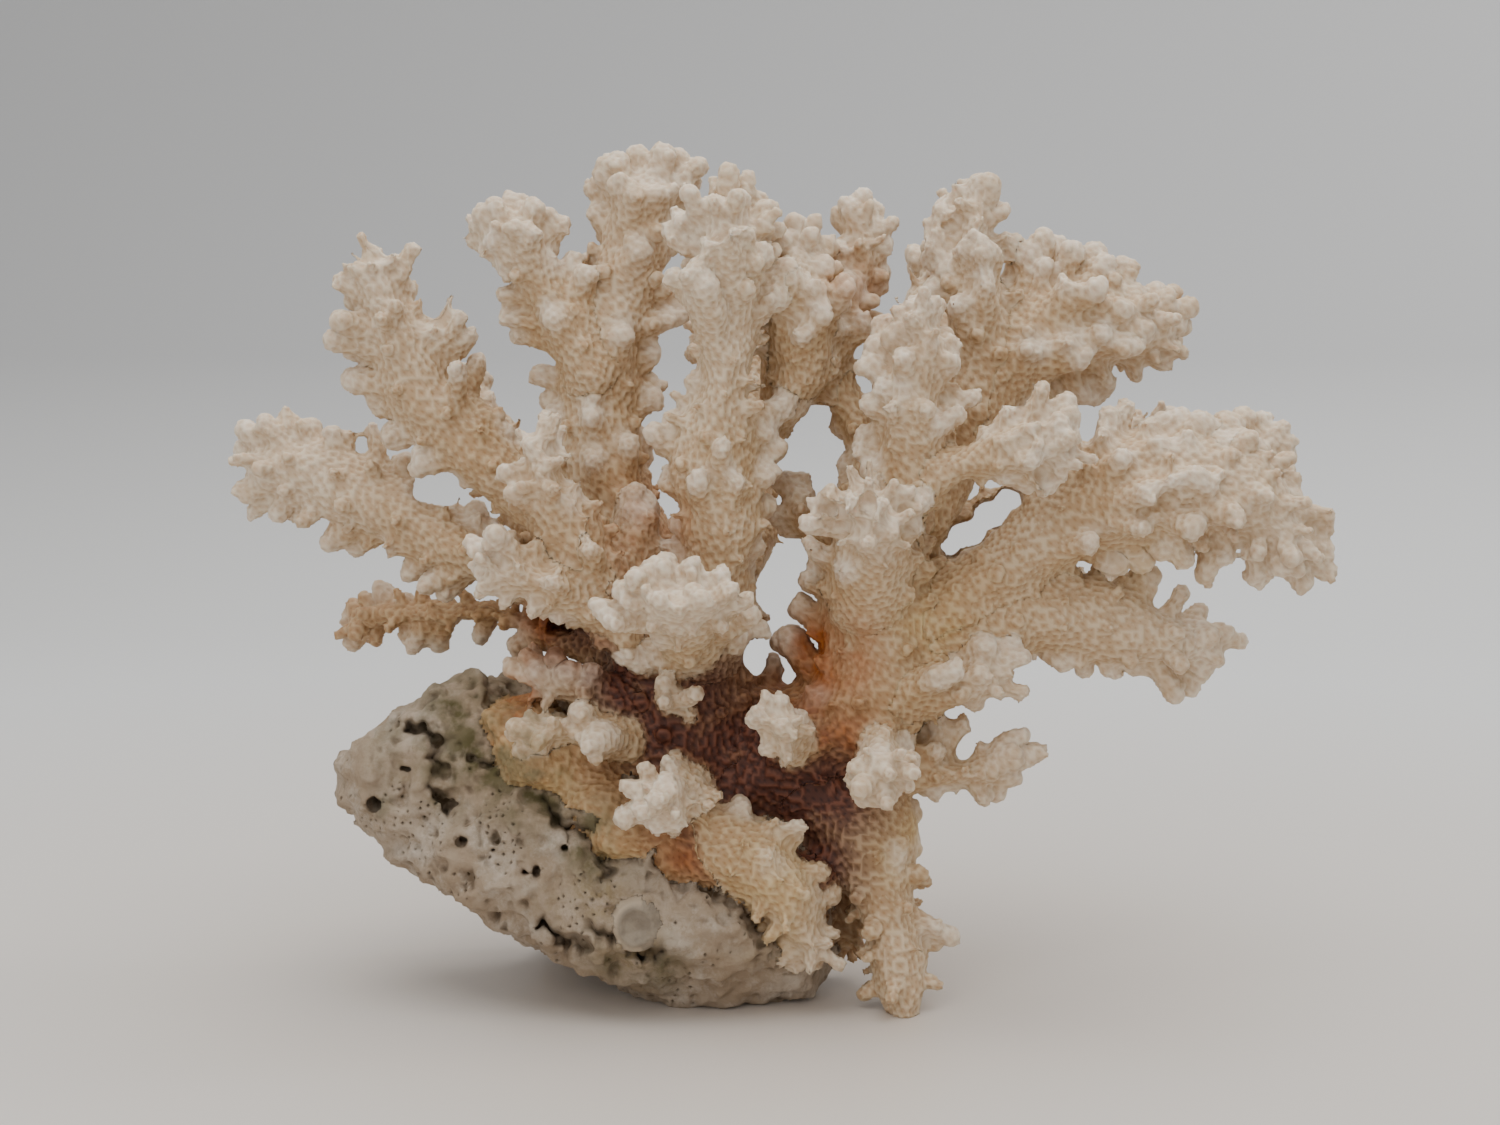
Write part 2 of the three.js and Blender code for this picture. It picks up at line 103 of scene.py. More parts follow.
VIEWER = (0.0, -1.0, 0.0)  # the way the viewer lies, and the way up
UP = (0.0, 0.0, 1.0)

# The branches. First the spine: x, y, z, half width, half thickness, from root to end.
# Then the tips: x, y, z, radius of each knob and finger. All in millimetres, worked out from marks
# that were picked on the photograph, each with a guessed depth. The rear ones are guessed whole.
BRANCHES = {
    "trunk_core": ([
        (-28, 8, 39, 14.5, 16), (-24, 8, 49, 16, 17), (-21, 8, 60, 16, 16), (-21, 9, 70, 13.5, 14),
    ], [
    ]),
    "right_trunk": ([
        (-10, 8, 43, 10.5, 14), (2, 8, 50, 15, 16), (14, 6, 58, 14.5, 16), (19, 5, 70, 14.5, 15),
        (19, 4, 81, 13.5, 13), (18, 2, 90, 11.5, 12),
    ], [
        (1, 9, 73, 3), (-2, 13, 68, 2.5), (2, 7, 81, 2.5), (4, 5, 86, 2), (6, -3, 64, 2.5), (9, -2, 62, 2),
    ]),
    "left_arm_low": ([
        (-35, 14, 69, 5.5, 6), (-47, 20, 71, 4, 6), (-60, 27, 76, 3, 6), (-74, 33, 75, 4, 6.5),
        (-85, 38, 75, 5, 7), (-92, 41, 72, 4.5, 6),
    ], [
        (-95, 41, 67, 2), (-80, 34, 68, 2.5), (-75, 35, 68, 2), (-87, 38, 79, 2), (-82, 37, 78, 1.5),
        (-96, 44, 73, 2), (-54, 21, 73, 2), (-65, 29, 70, 2), (-57, 22, 69, 2.5),
    ]),
    "left_arm_mid": ([
        (-36, 14, 79, 7, 9), (-50, 17, 84, 8, 9), (-62, 20, 88, 7, 8), (-74, 22, 94, 8.5, 8),
        (-87, 24, 101, 10.5, 8), (-100, 26, 106, 10, 7.5), (-108, 27, 107, 8, 7),
    ], [
        (-113, 27, 115, 2), (-109, 24, 117, 2), (-105, 27, 118, 2), (-100, 28, 116, 2), (-94, 24, 115, 2),
        (-115, 30, 111, 2), (-114, 25, 101, 2), (-112, 28, 97, 2), (-107, 24, 97, 1.5), (-96, 25, 91, 2.5),
        (-91, 27, 90, 2), (-102, 26, 96, 1.5), (-111, 23, 105, 2), (-79, 22, 85, 1.5), (-75, 18, 83, 2),
        (-71, 21, 81, 2), (-78, 21, 101, 1.5), (-82, 27, 103, 2), (-83, 19, 90, 1.5), (-64, 21, 97, 2.5),
        (-60, 20, 94, 2.5), (-87, 27, 116, 2), (-80, 26, 109, 2), (-70, 24, 101, 2), (-65, 24, 99, 2),
    ]),
    "left_fan_high": ([
        (-40, 14, 89, 6, 9), (-51, 16, 101, 7.5, 8), (-63, 17, 111, 9.5, 8), (-74, 17, 122, 10.5, 8),
        (-78, 16, 133, 9, 7.5), (-82, 15, 142, 7, 7), (-83, 14, 148, 5.5, 5.5),
    ], [
        (-83, 14, 152, 2.5), (-76, 15, 153, 2), (-87, 11, 149, 2), (-91, 14, 146, 2), (-91, 11, 138, 2),
        (-93, 13, 134, 2), (-90, 18, 132, 2), (-69, 15, 142, 1.5), (-66, 14, 139, 2), (-64, 16, 135, 2),
        (-72, 13, 136, 1.5), (-89, 16, 126, 2.5), (-85, 19, 122, 2.5), (-77, 18, 145, 1.5),
        (-63, 19, 130, 1.5), (-75, 14, 109, 2.5), (-71, 20, 108, 2.5), (-81, 17, 114, 2.5),
        (-57, 17, 115, 2), (-66, 8, 129, 2), (-67, 17, 105, 2), (-90, 17, 142, 1.5),
    ]),
    "left_front_blade": ([
        (-32, 2, 74, 7, 9), (-37, -2, 84, 9, 10), (-43, -7, 97, 8.5, 9), (-47, -10, 107, 6, 8),
        (-47, -11, 113, 4.5, 6.5),
    ], [
        (-47, -11, 118, 1.5), (-50, -14, 115, 1.5), (-44, -9, 114, 2), (-55, -13, 109, 2),
        (-53, -15, 105, 1.5), (-41, -9, 105, 2), (-42, -14, 103, 1.5), (-52, -8, 111, 1.5),
        (-47, -6, 120, 1.5), (-29, 4, 101, 4.5), (-28, 6, 93, 3.5),
    ]),
    "left_front_palm": ([
        (-33, -2, 78, 6, 8), (-42, -8, 85, 7, 8), (-51, -12, 88, 6.5, 7.5), (-56, -13, 89, 5.5, 7),
    ], [
        (-60, -15, 94, 2), (-57, -19, 97, 1.5), (-60, -13, 89, 1.5), (-59, -16, 86, 1.5), (-55, -13, 83, 2),
        (-50, -15, 81, 2), (-45, -9, 80, 2), (-38, -17, 95, 1.5), (-46, -20, 88, 1.5),
    ]),
    "tall_stem": ([
        (-27, 12, 70, 8.5, 10), (-32, 13, 87, 10, 10), (-36, 14, 103, 10.5, 9.5), (-38, 15, 118, 10.5, 9),
        (-37, 15, 133, 10, 9), (-33, 15, 144, 9, 8.5), (-29, 15, 156, 8.5, 8), (-27, 15, 162, 9, 7.5),
        (-27, 15, 164, 8, 6),
    ], [
        (-37, 13, 168, 2), (-40, 17, 165, 2), (-34, 12, 170, 2), (-30, 16, 172, 2), (-25, 13, 172, 2),
        (-21, 17, 171, 2), (-17, 14, 169, 2), (-18, 18, 166, 2), (-33, 7, 166, 2), (-30, 5, 164, 1.5),
        (-25, 7, 164, 2), (-39, 15, 160, 1.5), (-37, 18, 156, 1.5), (-21, 17, 161, 1.5),
        (-25, 15, 131, 2.5), (-25, 17, 126, 2), (-26, 14, 122, 2), (-27, 17, 114, 2), (-28, 18, 110, 2),
        (-19, 17, 143, 2.5), (-20, 15, 139, 2), (-23, 13, 138, 2), (-39, 15, 150, 2), (-50, 15, 127, 2),
        (-49, 17, 122, 2), (-48, 13, 119, 2), (-43, 7, 134, 2), (-32, 6, 136, 2), (-31, 6, 114, 2),
        (-39, 5, 120, 2), (-29, 6, 153, 2), (-39, 4, 111, 2), (-36, 21, 171, 2), (-24, 23, 170, 2),
    ]),
    "mushroom_left": ([
        (-39, 10, 127, 7, 7), (-44, 10, 137, 7, 7), (-49, 9, 145, 5.5, 6.5), (-53, 8, 151, 5.5, 7),
        (-54, 8, 155, 6.5, 6),
    ], [
        (-61, 6, 159, 2), (-63, 9, 157, 2), (-58, 5, 161, 2), (-55, 10, 162, 2), (-50, 6, 160, 2),
        (-47, 9, 159, 2), (-44, 8, 157, 1.5), (-46, 10, 155, 1.5), (-61, 8, 152, 1.5), (-57, 6, 148, 1.5),
        (-57, 9, 143, 1.5), (-57, 9, 138, 2), (-55, 12, 135, 2), (-47, 6, 150, 2), (-42, 9, 151, 2),
        (-59, 3, 154, 2), (-54, 0, 157, 2), (-50, 1, 156, 2), (-47, 3, 139, 1.5), (-40, 6, 148, 2),
        (-64, 11, 154, 1.5),
    ]),
    "centre_column": ([
        (-17, 4, 70, 9, 11), (-14, 0, 86, 9.5, 11), (-13, -3, 100, 10.5, 11), (-14, -4, 114, 10.5, 10),
        (-12, -5, 127, 7.5, 10), (-11, -6, 139, 7.5, 9.5), (-12, -7, 148, 9, 10), (-12, -8, 155, 9.5, 10),
    ], [
        (-11, 0, 164, 2), (-8, -2, 163, 2), (-4, -6, 159, 2), (-4, -10, 156, 1.5), (-9, -11, 161, 2),
        (-14, -14, 161, 2), (-18, -12, 159, 2), (-21, -10, 157, 2), (-23, -9, 155, 1.5),
        (-22, -15, 147, 2.5), (-18, -21, 148, 2.5), (-15, -21, 145, 2), (-18, -17, 143, 2),
        (-26, -6, 116, 2), (-23, -4, 119, 2), (-19, -5, 126, 2), (-22, -1, 112, 2), (-3, -2, 116, 2),
        (0, -1, 122, 2.5), (-3, -4, 108, 2), (-3, -1, 102, 2), (-5, -2, 93, 2), (-7, 1, 89, 2),
        (-22, 0, 98, 2), (-23, 3, 93, 2), (-17, -16, 108, 1.5), (-9, -15, 108, 1.5), (-1, -8, 142, 2),
        (0, -5, 147, 2.5), (-4, -13, 151, 2), (-7, -18, 155, 2), (-15, -20, 153, 2), (-10, -22, 155, 2),
        (-12, -17, 115, 1.5), (-24, 0, 107, 1.5), (-1, -1, 113, 1.5),
    ]),
    "centre_right_fork": ([
        (-8, 6, 111, 5, 8), (3, 10, 124, 6.5, 9), (9, 12, 132, 8.5, 9), (13, 14, 142, 6, 8),
        (16, 15, 151, 5.5, 7), (16, 15, 157, 4, 5.5),
    ], [
        (16, 15, 163, 2), (13, 13, 161, 2), (19, 18, 161, 1.5), (19, 17, 157, 2), (22, 15, 153, 2),
        (22, 17, 148, 2), (19, 16, 144, 1.5), (11, 17, 159, 2), (8, 11, 154, 2), (11, 9, 153, 2),
        (17, 6, 138, 2), (11, 3, 138, 2), (-3, 6, 133, 2), (-1, 4, 137, 2), (20, 16, 137, 1.5),
        (12, 6, 147, 2), (14, 9, 144, 2), (7, 0, 133, 2), (3, 3, 121, 2),
    ]),
    "centre_right_crown": ([
        (3, 4, 127, 7, 8), (3, 2, 138, 7, 8), (3, 2, 147, 6.5, 7.5), (3, 2, 151, 5.5, 5.5),
    ], [
        (2, 2, 157, 2), (5, 4, 156, 2), (-1, -1, 154, 2), (8, -2, 149, 2), (12, -4, 145, 2),
        (11, -1, 142, 2), (6, -7, 145, 2), (1, -7, 147, 1.5), (7, -7, 140, 2), (-2, -4, 142, 2),
        (3, -8, 136, 2), (9, 6, 154, 2),
    ]),
    "arch_branch": ([
        (11, 14, 125, 5.5, 6), (15, 12, 115, 4.5, 6), (15, 9, 107, 4.5, 6), (16, 6, 100, 5.5, 7),
    ], [
        (11, 14, 115, 1), (12, 10, 109, 1.5), (11, 10, 104, 1.5),
    ]),
    "gap_twig": ([
        (10, 10, 92, 3.5, 5), (4, 12, 97, 3.5, 5), (2, 13, 103, 3, 5),
    ], [
        (0, 13, 106, 1.5), (4, 14, 107, 1.5), (-2, 12, 98, 1.5), (0, 14, 95, 1.5), (5, 11, 103, 1.5),
    ]),
    "right_front_head": ([
        (16, -3, 84, 9, 10), (17, -11, 94, 9.5, 10), (16, -17, 100, 8, 9),
    ], [
        (4, -18, 99, 2), (5, -15, 103, 1.5), (8, -17, 106, 1.5), (16, -14, 107, 1.5), (23, -17, 105, 2),
        (27, -15, 103, 2), (26, -14, 98, 2), (5, -9, 93, 2), (4, -6, 94, 1.5), (12, -25, 104, 2),
        (18, -26, 104, 2), (20, -23, 99, 2), (14, -21, 96, 1.5), (11, -15, 90, 1.5),
    ]),
    "small_tree": ([
        (20, 0, 89, 7, 8), (22, -3, 101, 7.5, 8), (24, -6, 112, 8, 8.5), (25, -8, 121, 7.5, 8),
        (26, -9, 130, 6, 7.5), (26, -9, 137, 4.5, 7),
    ], [
        (15, -10, 122, 2), (18, -12, 125, 1.5), (23, -14, 125, 1.5), (37, -8, 123, 2), (34, -12, 120, 2),
        (32, -6, 123, 2), (25, -9, 141, 2), (28, -7, 139, 2), (22, -11, 140, 1.5), (33, -9, 133, 1.5),
        (33, -12, 130, 2), (20, -11, 135, 2), (17, -7, 133, 2), (16, -9, 129, 1.5), (28, -15, 134, 1.5),
        (15, -5, 116, 2), (14, -6, 113, 1.5), (16, -8, 109, 2), (20, -17, 122, 1.5), (27, -18, 122, 2),
        (30, -13, 118, 2), (22, -17, 132, 1.5), (18, -5, 138, 1.5),
    ]),
    "right_hand": ([
        (24, -6, 102, 5.5, 7), (32, -9, 109, 6, 7), (40, -11, 111, 5.5, 7), (47, -13, 112, 6.5, 7.5),
        (51, -14, 113, 6, 7),
    ], [
        (43, -14, 121, 1.5), (49, -14, 125, 1.5), (55, -13, 123, 1.5), (56, -14, 119, 1.5),
        (53, -18, 118, 2), (47, -19, 118, 1.5), (54, -14, 111, 2), (51, -14, 105, 2), (47, -11, 105, 2),
        (54, -12, 107, 1.5), (43, -12, 107, 1.5), (43, -19, 115, 1.5), (48, -21, 111, 2),
        (40, -13, 115, 1.5), (55, -11, 115, 1.5),
    ]),
    "upper_right_tower": ([
        (29, 10, 97, 7, 8), (34, 12, 113, 9, 9), (39, 13, 129, 9.5, 9), (39, 13, 142, 8.5, 9),
        (38, 13, 152, 7, 8.5), (38, 13, 160, 5.5, 7.5),
    ], [
        (39, 13, 164, 4), (31, 11, 160, 2.5), (30, 14, 158, 2), (29, 10, 153, 2.5), (29, 13, 156, 2),
        (32, 9, 149, 2), (29, 13, 150, 2), (44, 14, 160, 2), (46, 15, 155, 2), (38, 3, 155, 2),
        (39, 1, 152, 2), (35, 4, 153, 2), (42, 3, 152, 2), (29, 11, 144, 2), (31, 13, 146, 1.5),
        (33, 13, 162, 2), (34, 3, 142, 2), (40, 1, 146, 2),
    ]),
    "upper_right_fan": ([
        (37, 12, 115, 7.5, 8), (44, 14, 127, 9.5, 8.5), (52, 15, 135, 11.5, 9), (61, 16, 137, 12.5, 8.5),
        (69, 17, 137, 10.5, 8), (75, 18, 136, 8, 7.5),
    ], [
        (53, 16, 155, 2), (56, 19, 154, 2), (59, 14, 152, 2), (64, 17, 152, 2), (66, 14, 150, 2),
        (70, 19, 149, 2), (72, 17, 144, 2), (77, 20, 144, 2), (79, 16, 141, 2), (81, 18, 137, 2),
        (81, 20, 132, 2), (78, 18, 128, 2), (73, 19, 126, 2), (67, 15, 124, 2), (62, 16, 122, 2.5),
        (57, 17, 123, 2), (50, 15, 152, 2), (53, 12, 149, 2), (57, 7, 146, 2), (63, 6, 145, 2),
        (70, 8, 140, 2), (65, 6, 135, 2), (58, 5, 134, 2), (74, 10, 135, 2), (50, 5, 133, 2),
        (70, 8, 132, 2), (48, 18, 150, 2), (47, 19, 147, 2.5), (65, 18, 122, 2.5), (59, 19, 121, 2.5),
        (61, 6, 130, 2), (47, 13, 120, 2),
    ]),
    "right_arm": ([
        (16, 6, 73, 10, 11), (29, 5, 79, 9, 11), (44, 4, 88, 8.5, 10.5), (56, 3, 99, 11.5, 10),
        (68, 2, 104, 12.5, 10), (80, 1, 104, 12.5, 10), (91, 0, 102, 11, 9.5), (99, 0, 96, 7.5, 8.5),
    ], [
        (65, 2, 119, 3), (69, 4, 121, 2), (63, -3, 116, 2), (73, 2, 117, 2), (79, 3, 119, 2),
        (76, 3, 118, 2), (75, -4, 114, 2), (83, 1, 118, 2.5), (80, -4, 114, 2), (87, 4, 115, 2),
        (102, 0, 103, 2), (109, -1, 99, 2), (109, 2, 96, 1.5), (108, 0, 92, 1.5), (109, 0, 87, 2),
        (104, -2, 85, 2), (99, -4, 88, 2), (94, 0, 86, 2), (88, -3, 90, 2), (85, -2, 88, 2),
        (84, 0, 86, 1.5), (80, -4, 90, 2), (76, -2, 92, 2), (81, -11, 108, 2.5), (76, -12, 107, 2),
        (72, -11, 104, 2), (84, -11, 106, 2), (89, -12, 99, 2), (81, -11, 97, 2), (95, -9, 103, 2),
        (71, -10, 97, 2), (48, 5, 100, 2), (45, 8, 97, 2), (41, 6, 94, 2), (37, 6, 91, 2), (33, 7, 88, 2),
        (54, 6, 104, 2), (58, 5, 110, 2), (60, 4, 114, 2), (61, -9, 95, 2), (67, -8, 112, 2),
        (67, 2, 89, 2.5), (72, 2, 89, 2.5),
    ]),
    "right_arm_crown": ([
        (82, 4, 108, 5, 7), (91, 6, 112, 5, 7), (96, 7, 112, 4.5, 5.5),
    ], [
        (93, 7, 119, 2), (97, 9, 118, 2), (90, 4, 118, 2), (102, 7, 113, 1.5), (103, 9, 110, 1.5),
        (102, 6, 107, 2), (100, 9, 104, 2), (93, 0, 114, 2), (88, -1, 114, 2),
    ]),
    "right_arm_low": ([
        (28, 4, 72, 8.5, 9), (42, 5, 77, 9, 9), (55, 6, 79, 11, 9), (67, 7, 76, 10, 8.5),
        (78, 8, 73, 7.5, 8), (84, 9, 73, 5, 6.5),
    ], [
        (74, 9, 87, 2), (75, 8, 86, 2.5), (75, 11, 83, 2), (81, 8, 83, 2), (86, 11, 79, 2),
        (86, 7, 76, 1.5), (91, 9, 74, 2), (94, 11, 72, 2), (89, 7, 69, 2), (86, 9, 66, 2), (84, 11, 62, 2),
        (80, 7, 61, 2), (77, 8, 64, 2), (67, 7, 66, 2), (62, 9, 66, 2), (57, 4, 68, 1.5), (54, 6, 70, 1.5),
        (72, 8, 66, 2),
    ]),
    "right_side_fan": ([
        (19, 0, 62, 8, 8), (29, -2, 64, 7, 8), (37, -4, 66, 5.5, 7), (41, -5, 67, 4.5, 5.5),
    ], [
        (48, -5, 71, 2), (45, -3, 73, 2), (40, -6, 74, 2), (48, -5, 64, 2), (45, -2, 65, 1.5),
        (34, -13, 70, 2), (32, -3, 71, 2), (38, -4, 61, 2), (40, -11, 69, 1.5), (30, -13, 68, 1.5),
    ]),
    "right_lower_fan": ([
        (19, 3, 48, 7.5, 8), (29, 2, 47, 6, 7), (39, 1, 47, 4.5, 6.5), (43, 1, 48, 4, 5),
    ], [
        (48, 1, 55, 2), (52, 2, 51, 1.5), (46, 1, 46, 2), (44, 3, 42, 1.5), (40, 0, 41, 1.5),
        (35, 2, 43, 1.5), (31, 2, 42, 2), (32, 2, 56, 3), (36, 1, 57, 2), (32, -4, 53, 2),
        (46, -2, 51, 1.5),
    ]),
    "foot_leg": ([
        (4, 6, 44, 12, 13), (14, 2, 36, 12, 12.5), (18, -1, 27, 9.5, 11), (22, -4, 16, 8, 9.5),
        (23, -6, 7, 7, 9), (24, -7, 0, 6.5, 8.5),
    ], [
        (34, -5, 14, 2), (31, -7, 16, 2), (26, 3, 38, 2), (26, -1, 32, 2), (25, 2, 27, 2), (23, -9, 31, 2),
    ]),
    "rear_leg": ([
        (8, 16, 27, 5.5, 7), (12, 14, 18, 6, 7), (13, 12, 11, 5.5, 7),
    ], [
    ]),
    "lower_front_lobe": ([
        (-23, -4, 34, 7, 8.5), (-14, -9, 34, 8.5, 9), (-5, -12, 31, 9.5, 9), (1, -12, 23, 7.5, 8),
        (5, -10, 14, 4.5, 6.5),
    ], [
        (-8, -10, 42, 2), (3, -14, 39, 2), (-1, -12, 38, 2), (-14, -12, 27, 2.5), (-17, -7, 28, 2),
        (6, -9, 10, 1.5), (1, -10, 11, 1.5), (-2, -20, 33, 2), (-26, -2, 31, 2.5), (-10, -12, 28, 2),
    ]),
    "front_star": ([
        (-19, -2, 72, 7.5, 6.5), (-20, -13, 78, 9.5, 6), (-20, -23, 84, 10.5, 5.5),
    ], [
        (-36, -21, 83, 2), (-34, -23, 81, 1.5), (-32, -23, 87, 2), (-29, -26, 90, 1.5), (-26, -23, 92, 2),
        (-23, -21, 93, 1.5), (-18, -24, 92, 2), (-16, -21, 90, 1.5), (-12, -23, 90, 1.5),
        (-10, -26, 87, 1.5), (-6, -23, 85, 1.5), (-6, -14, 81, 1.5), (-4, -2, 76, 2), (-8, -5, 75, 2),
        (-14, -2, 70, 2), (-18, -5, 70, 2), (-29, -6, 71, 2.5), (-32, -7, 72, 2), (-24, -31, 86, 2),
        (-16, -31, 86, 2), (-20, -22, 80, 1.5), (-26, -15, 76, 2),
    ]),
    "front_cluster_low": ([
        (-17, 0, 43, 5.5, 6.5), (-20, -12, 45, 6.5, 6.5), (-23, -22, 45, 7, 6),
    ], [
        (-22, -5, 53, 2), (-23, -16, 52, 2), (-19, 3, 48, 2), (-30, -22, 48, 2), (-32, -21, 42, 2),
        (-28, -26, 44, 2), (-26, -23, 40, 2), (-20, -23, 41, 1.5), (-15, 0, 44, 2), (-16, 2, 40, 2),
        (-23, -27, 51, 2), (-19, -17, 45, 2), (-25, -31, 48, 2), (-12, 10, 46, 2),
    ]),
    "front_knob_mid": ([
        (4, 2, 52, 5, 6), (1, -10, 56, 4.5, 6), (-1, -20, 60, 4, 5.5),
    ], [
        (-1, -20, 66, 2), (-4, -18, 64, 1.5), (-7, -20, 61, 1.5), (-6, -22, 63, 1.5), (-5, -19, 55, 2),
        (-2, -16, 55, 1.5), (3, -13, 61, 2), (3, -9, 58, 2), (-1, -26, 61, 1.5),
    ]),
    "front_knob_right": ([
        (19, -4, 52, 6, 7), (18, -15, 52, 6, 6.5), (18, -22, 52, 5.5, 6),
    ], [
        (15, -3, 55, 2), (18, -6, 57, 2), (24, -4, 55, 2), (24, -6, 53, 2), (13, -22, 52, 2),
        (12, -20, 49, 1.5), (15, -22, 46, 1.5), (19, -24, 46, 1.5), (22, -21, 49, 1.5), (25, -16, 52, 1.5),
        (18, -26, 54, 2), (15, -14, 53, 2),
    ]),
    "oval_stub": ([
        (-22, -2, 62, 4, 3), (-22, -10, 63, 4.5, 3),
    ], [
    ]),
    "left_knob_upper": ([
        (-34, 0, 62, 7, 8), (-42, -4, 65, 6, 7), (-48, -6, 67, 4.5, 6),
    ], [
        (-55, -6, 69, 2), (-53, -4, 70, 2), (-50, -9, 69, 2), (-44, -11, 69, 2), (-48, -8, 65, 2),
        (-39, -9, 69, 2),
    ]),
    "left_knob_lower": ([
        (-33, -4, 55, 5, 7), (-41, -10, 57, 3.5, 6), (-48, -13, 58, 3.5, 5.5),
    ], [
        (-53, -13, 58, 2), (-50, -15, 56, 2), (-38, -18, 56, 3), (-41, -14, 62, 2), (-36, -15, 57, 2.5),
    ]),
    "rear_left": ([
        (-32, 20, 72, 8, 7), (-52, 36, 94, 8, 7), (-66, 46, 114, 9, 7), (-70, 50, 121, 8, 5),
    ], [
        (-76, 50, 122, 2), (-72, 52, 126, 2), (-66, 50, 127, 2), (-62, 46, 122, 2), (-76, 46, 115, 2),
        (-58, 44, 112, 2), (-70, 44, 112, 2), (-60, 38, 108, 2), (-66, 54, 120, 2.2),
    ]),
    "rear_high_left": ([
        (-27, 22, 85, 8, 8), (-37, 38, 112, 8, 7), (-41, 48, 136, 9, 7), (-42, 51, 145, 8, 5),
    ], [
        (-49, 52, 147, 2), (-45, 54, 150, 2), (-39, 53, 150, 2), (-35, 51, 146, 2), (-50, 48, 139, 2),
        (-33, 46, 134, 2), (-42, 56, 140, 2.2), (-46, 44, 126, 2), (-32, 40, 122, 2),
    ]),
    "rear_centre": ([
        (-8, 20, 80, 9, 8), (-9, 40, 106, 9, 8), (-10, 54, 128, 11, 8), (-10, 58, 138, 10, 6),
    ], [
        (-19, 58, 141, 2), (-14, 61, 145, 2), (-8, 61, 145, 2), (-2, 58, 140, 2), (-20, 54, 132, 2),
        (0, 54, 130, 2), (-10, 65, 132, 2.2), (-17, 46, 116, 2), (-2, 44, 112, 2), (-14, 60, 124, 2),
    ]),
    "rear_right_high": ([
        (18, 15, 92, 9, 8), (28, 34, 118, 9, 7), (35, 47, 140, 11, 7), (37, 51, 149, 9, 5),
    ], [
        (29, 52, 152, 2), (34, 54, 155, 2), (40, 54, 154, 2), (45, 51, 148, 2), (26, 48, 143, 2),
        (46, 47, 139, 2), (37, 57, 143, 2.2), (24, 38, 128, 2), (38, 38, 124, 2), (34, 54, 134, 2),
    ]),
    "rear_right": ([
        (24, 15, 80, 9, 8), (50, 33, 97, 9, 7.5), (74, 45, 107, 10, 7), (83, 49, 110, 8, 5),
    ], [
        (86, 50, 118, 2), (92, 52, 112, 2), (91, 50, 106, 2), (85, 48, 102, 2), (78, 46, 116, 2),
        (72, 44, 97, 2), (78, 54, 108, 2.2), (62, 38, 110, 2), (60, 40, 94, 2), (66, 46, 102, 2),
    ]),
    "rear_right_low": ([
        (24, 14, 64, 8, 8), (46, 29, 71, 8, 7), (62, 38, 75, 8, 6), (69, 41, 77, 6, 4.5),
    ], [
        (70, 42, 83, 2), (75, 43, 78, 2), (73, 41, 72, 2), (64, 38, 83, 2), (62, 40, 67, 2),
        (66, 46, 76, 2), (54, 34, 79, 2), (52, 34, 66, 2),
    ]),
    "rear_low": ([
        (-18, 20, 56, 9, 9), (-20, 38, 60, 9, 8), (-21, 54, 66, 10, 7), (-22, 60, 68, 9, 5),
    ], [
        (-30, 61, 71, 2), (-25, 64, 75, 2), (-18, 64, 75, 2), (-13, 61, 70, 2), (-30, 58, 62, 2),
        (-14, 58, 60, 2), (-22, 66, 68, 2.2), (-28, 46, 66, 2), (-13, 46, 64, 2),
    ]),
}
# Branches that grow towards the viewer or straight back, so that their broad face looks up
FORWARD = {"front_star", "front_cluster_low", "front_knob_mid", "front_knob_right", "oval_stub", "rear_low"}

# The rock: x, y, z, radius x, radius y, radius z of its boulders, then of its hollows
BOULDERS = [
    (-62, 14, 42, 25, 24, 20), (-38, 12, 31, 30, 27, 25), (-16, 9, 20, 26, 27, 22),
    (-79, 12, 44, 13, 18, 15), (-46, 27, 12, 13, 14, 14), (-4, 8, 13, 15, 17, 15),
    (-54, -4, 30, 17, 13, 15), (-30, -8, 24, 20, 13, 18), (-66, 11, 56, 16, 14, 11),
    (-66, 4, 30, 14, 14, 12),
]
HOLLOWS = [
    (-82.1, -4, 41.5, 1.6, 5, 1.6), (-63.6, -13, 35.6, 1.0, 5, 1.0), (-55.7, -13, 45.0, 0.5, 5, 0.5),
    (-48.8, -17, 30.1, 0.8, 5, 1.4), (-51.3, -17, 30.1, 0.8, 5, 0.8), (-43.4, -18, 34.9, 0.6, 5, 0.6),
    (-57.4, -14, 34.2, 0.5, 5, 0.5), (-75.9, -5, 48.4, 1.6, 5, 0.8),
]
# Cracks in the rock, carved in and darkened with painted shade: x, y, z of both ends, and half width
CRACKS = [
    (-46.9, -17.0, 43.6, -41.0, -18.0, 39.1, 1.3), (-41.0, -18.0, 39.1, -35.3, -19.0, 35.7, 1.7),
    (-36.1, -19.0, 36.1, -34.9, -20.0, 31.2, 1.3), (-74.6, -3.0, 56.5, -68.7, -6.0, 54.6, 1.3),
    (-68.7, -6.0, 54.6, -69.1, -9.0, 48.7, 1.2), (-68.9, -11.0, 45.5, -66.8, -12.0, 42.5, 1.0),
    (-36.9, -20.0, 20.1, -24.4, -22.0, 15.1, 1.5), (-23.6, -21.0, 32.3, -10.8, -24.0, 27.5, 2.0),
    (-10.8, -24.0, 27.5, -2.2, -24.0, 19.8, 2.2), (-47.3, -15.0, 19.4, -39.2, -18.0, 15.2, 1.2),
    (-59.8, -14.0, 52.1, -51.9, -15.0, 49.9, 0.8),
]
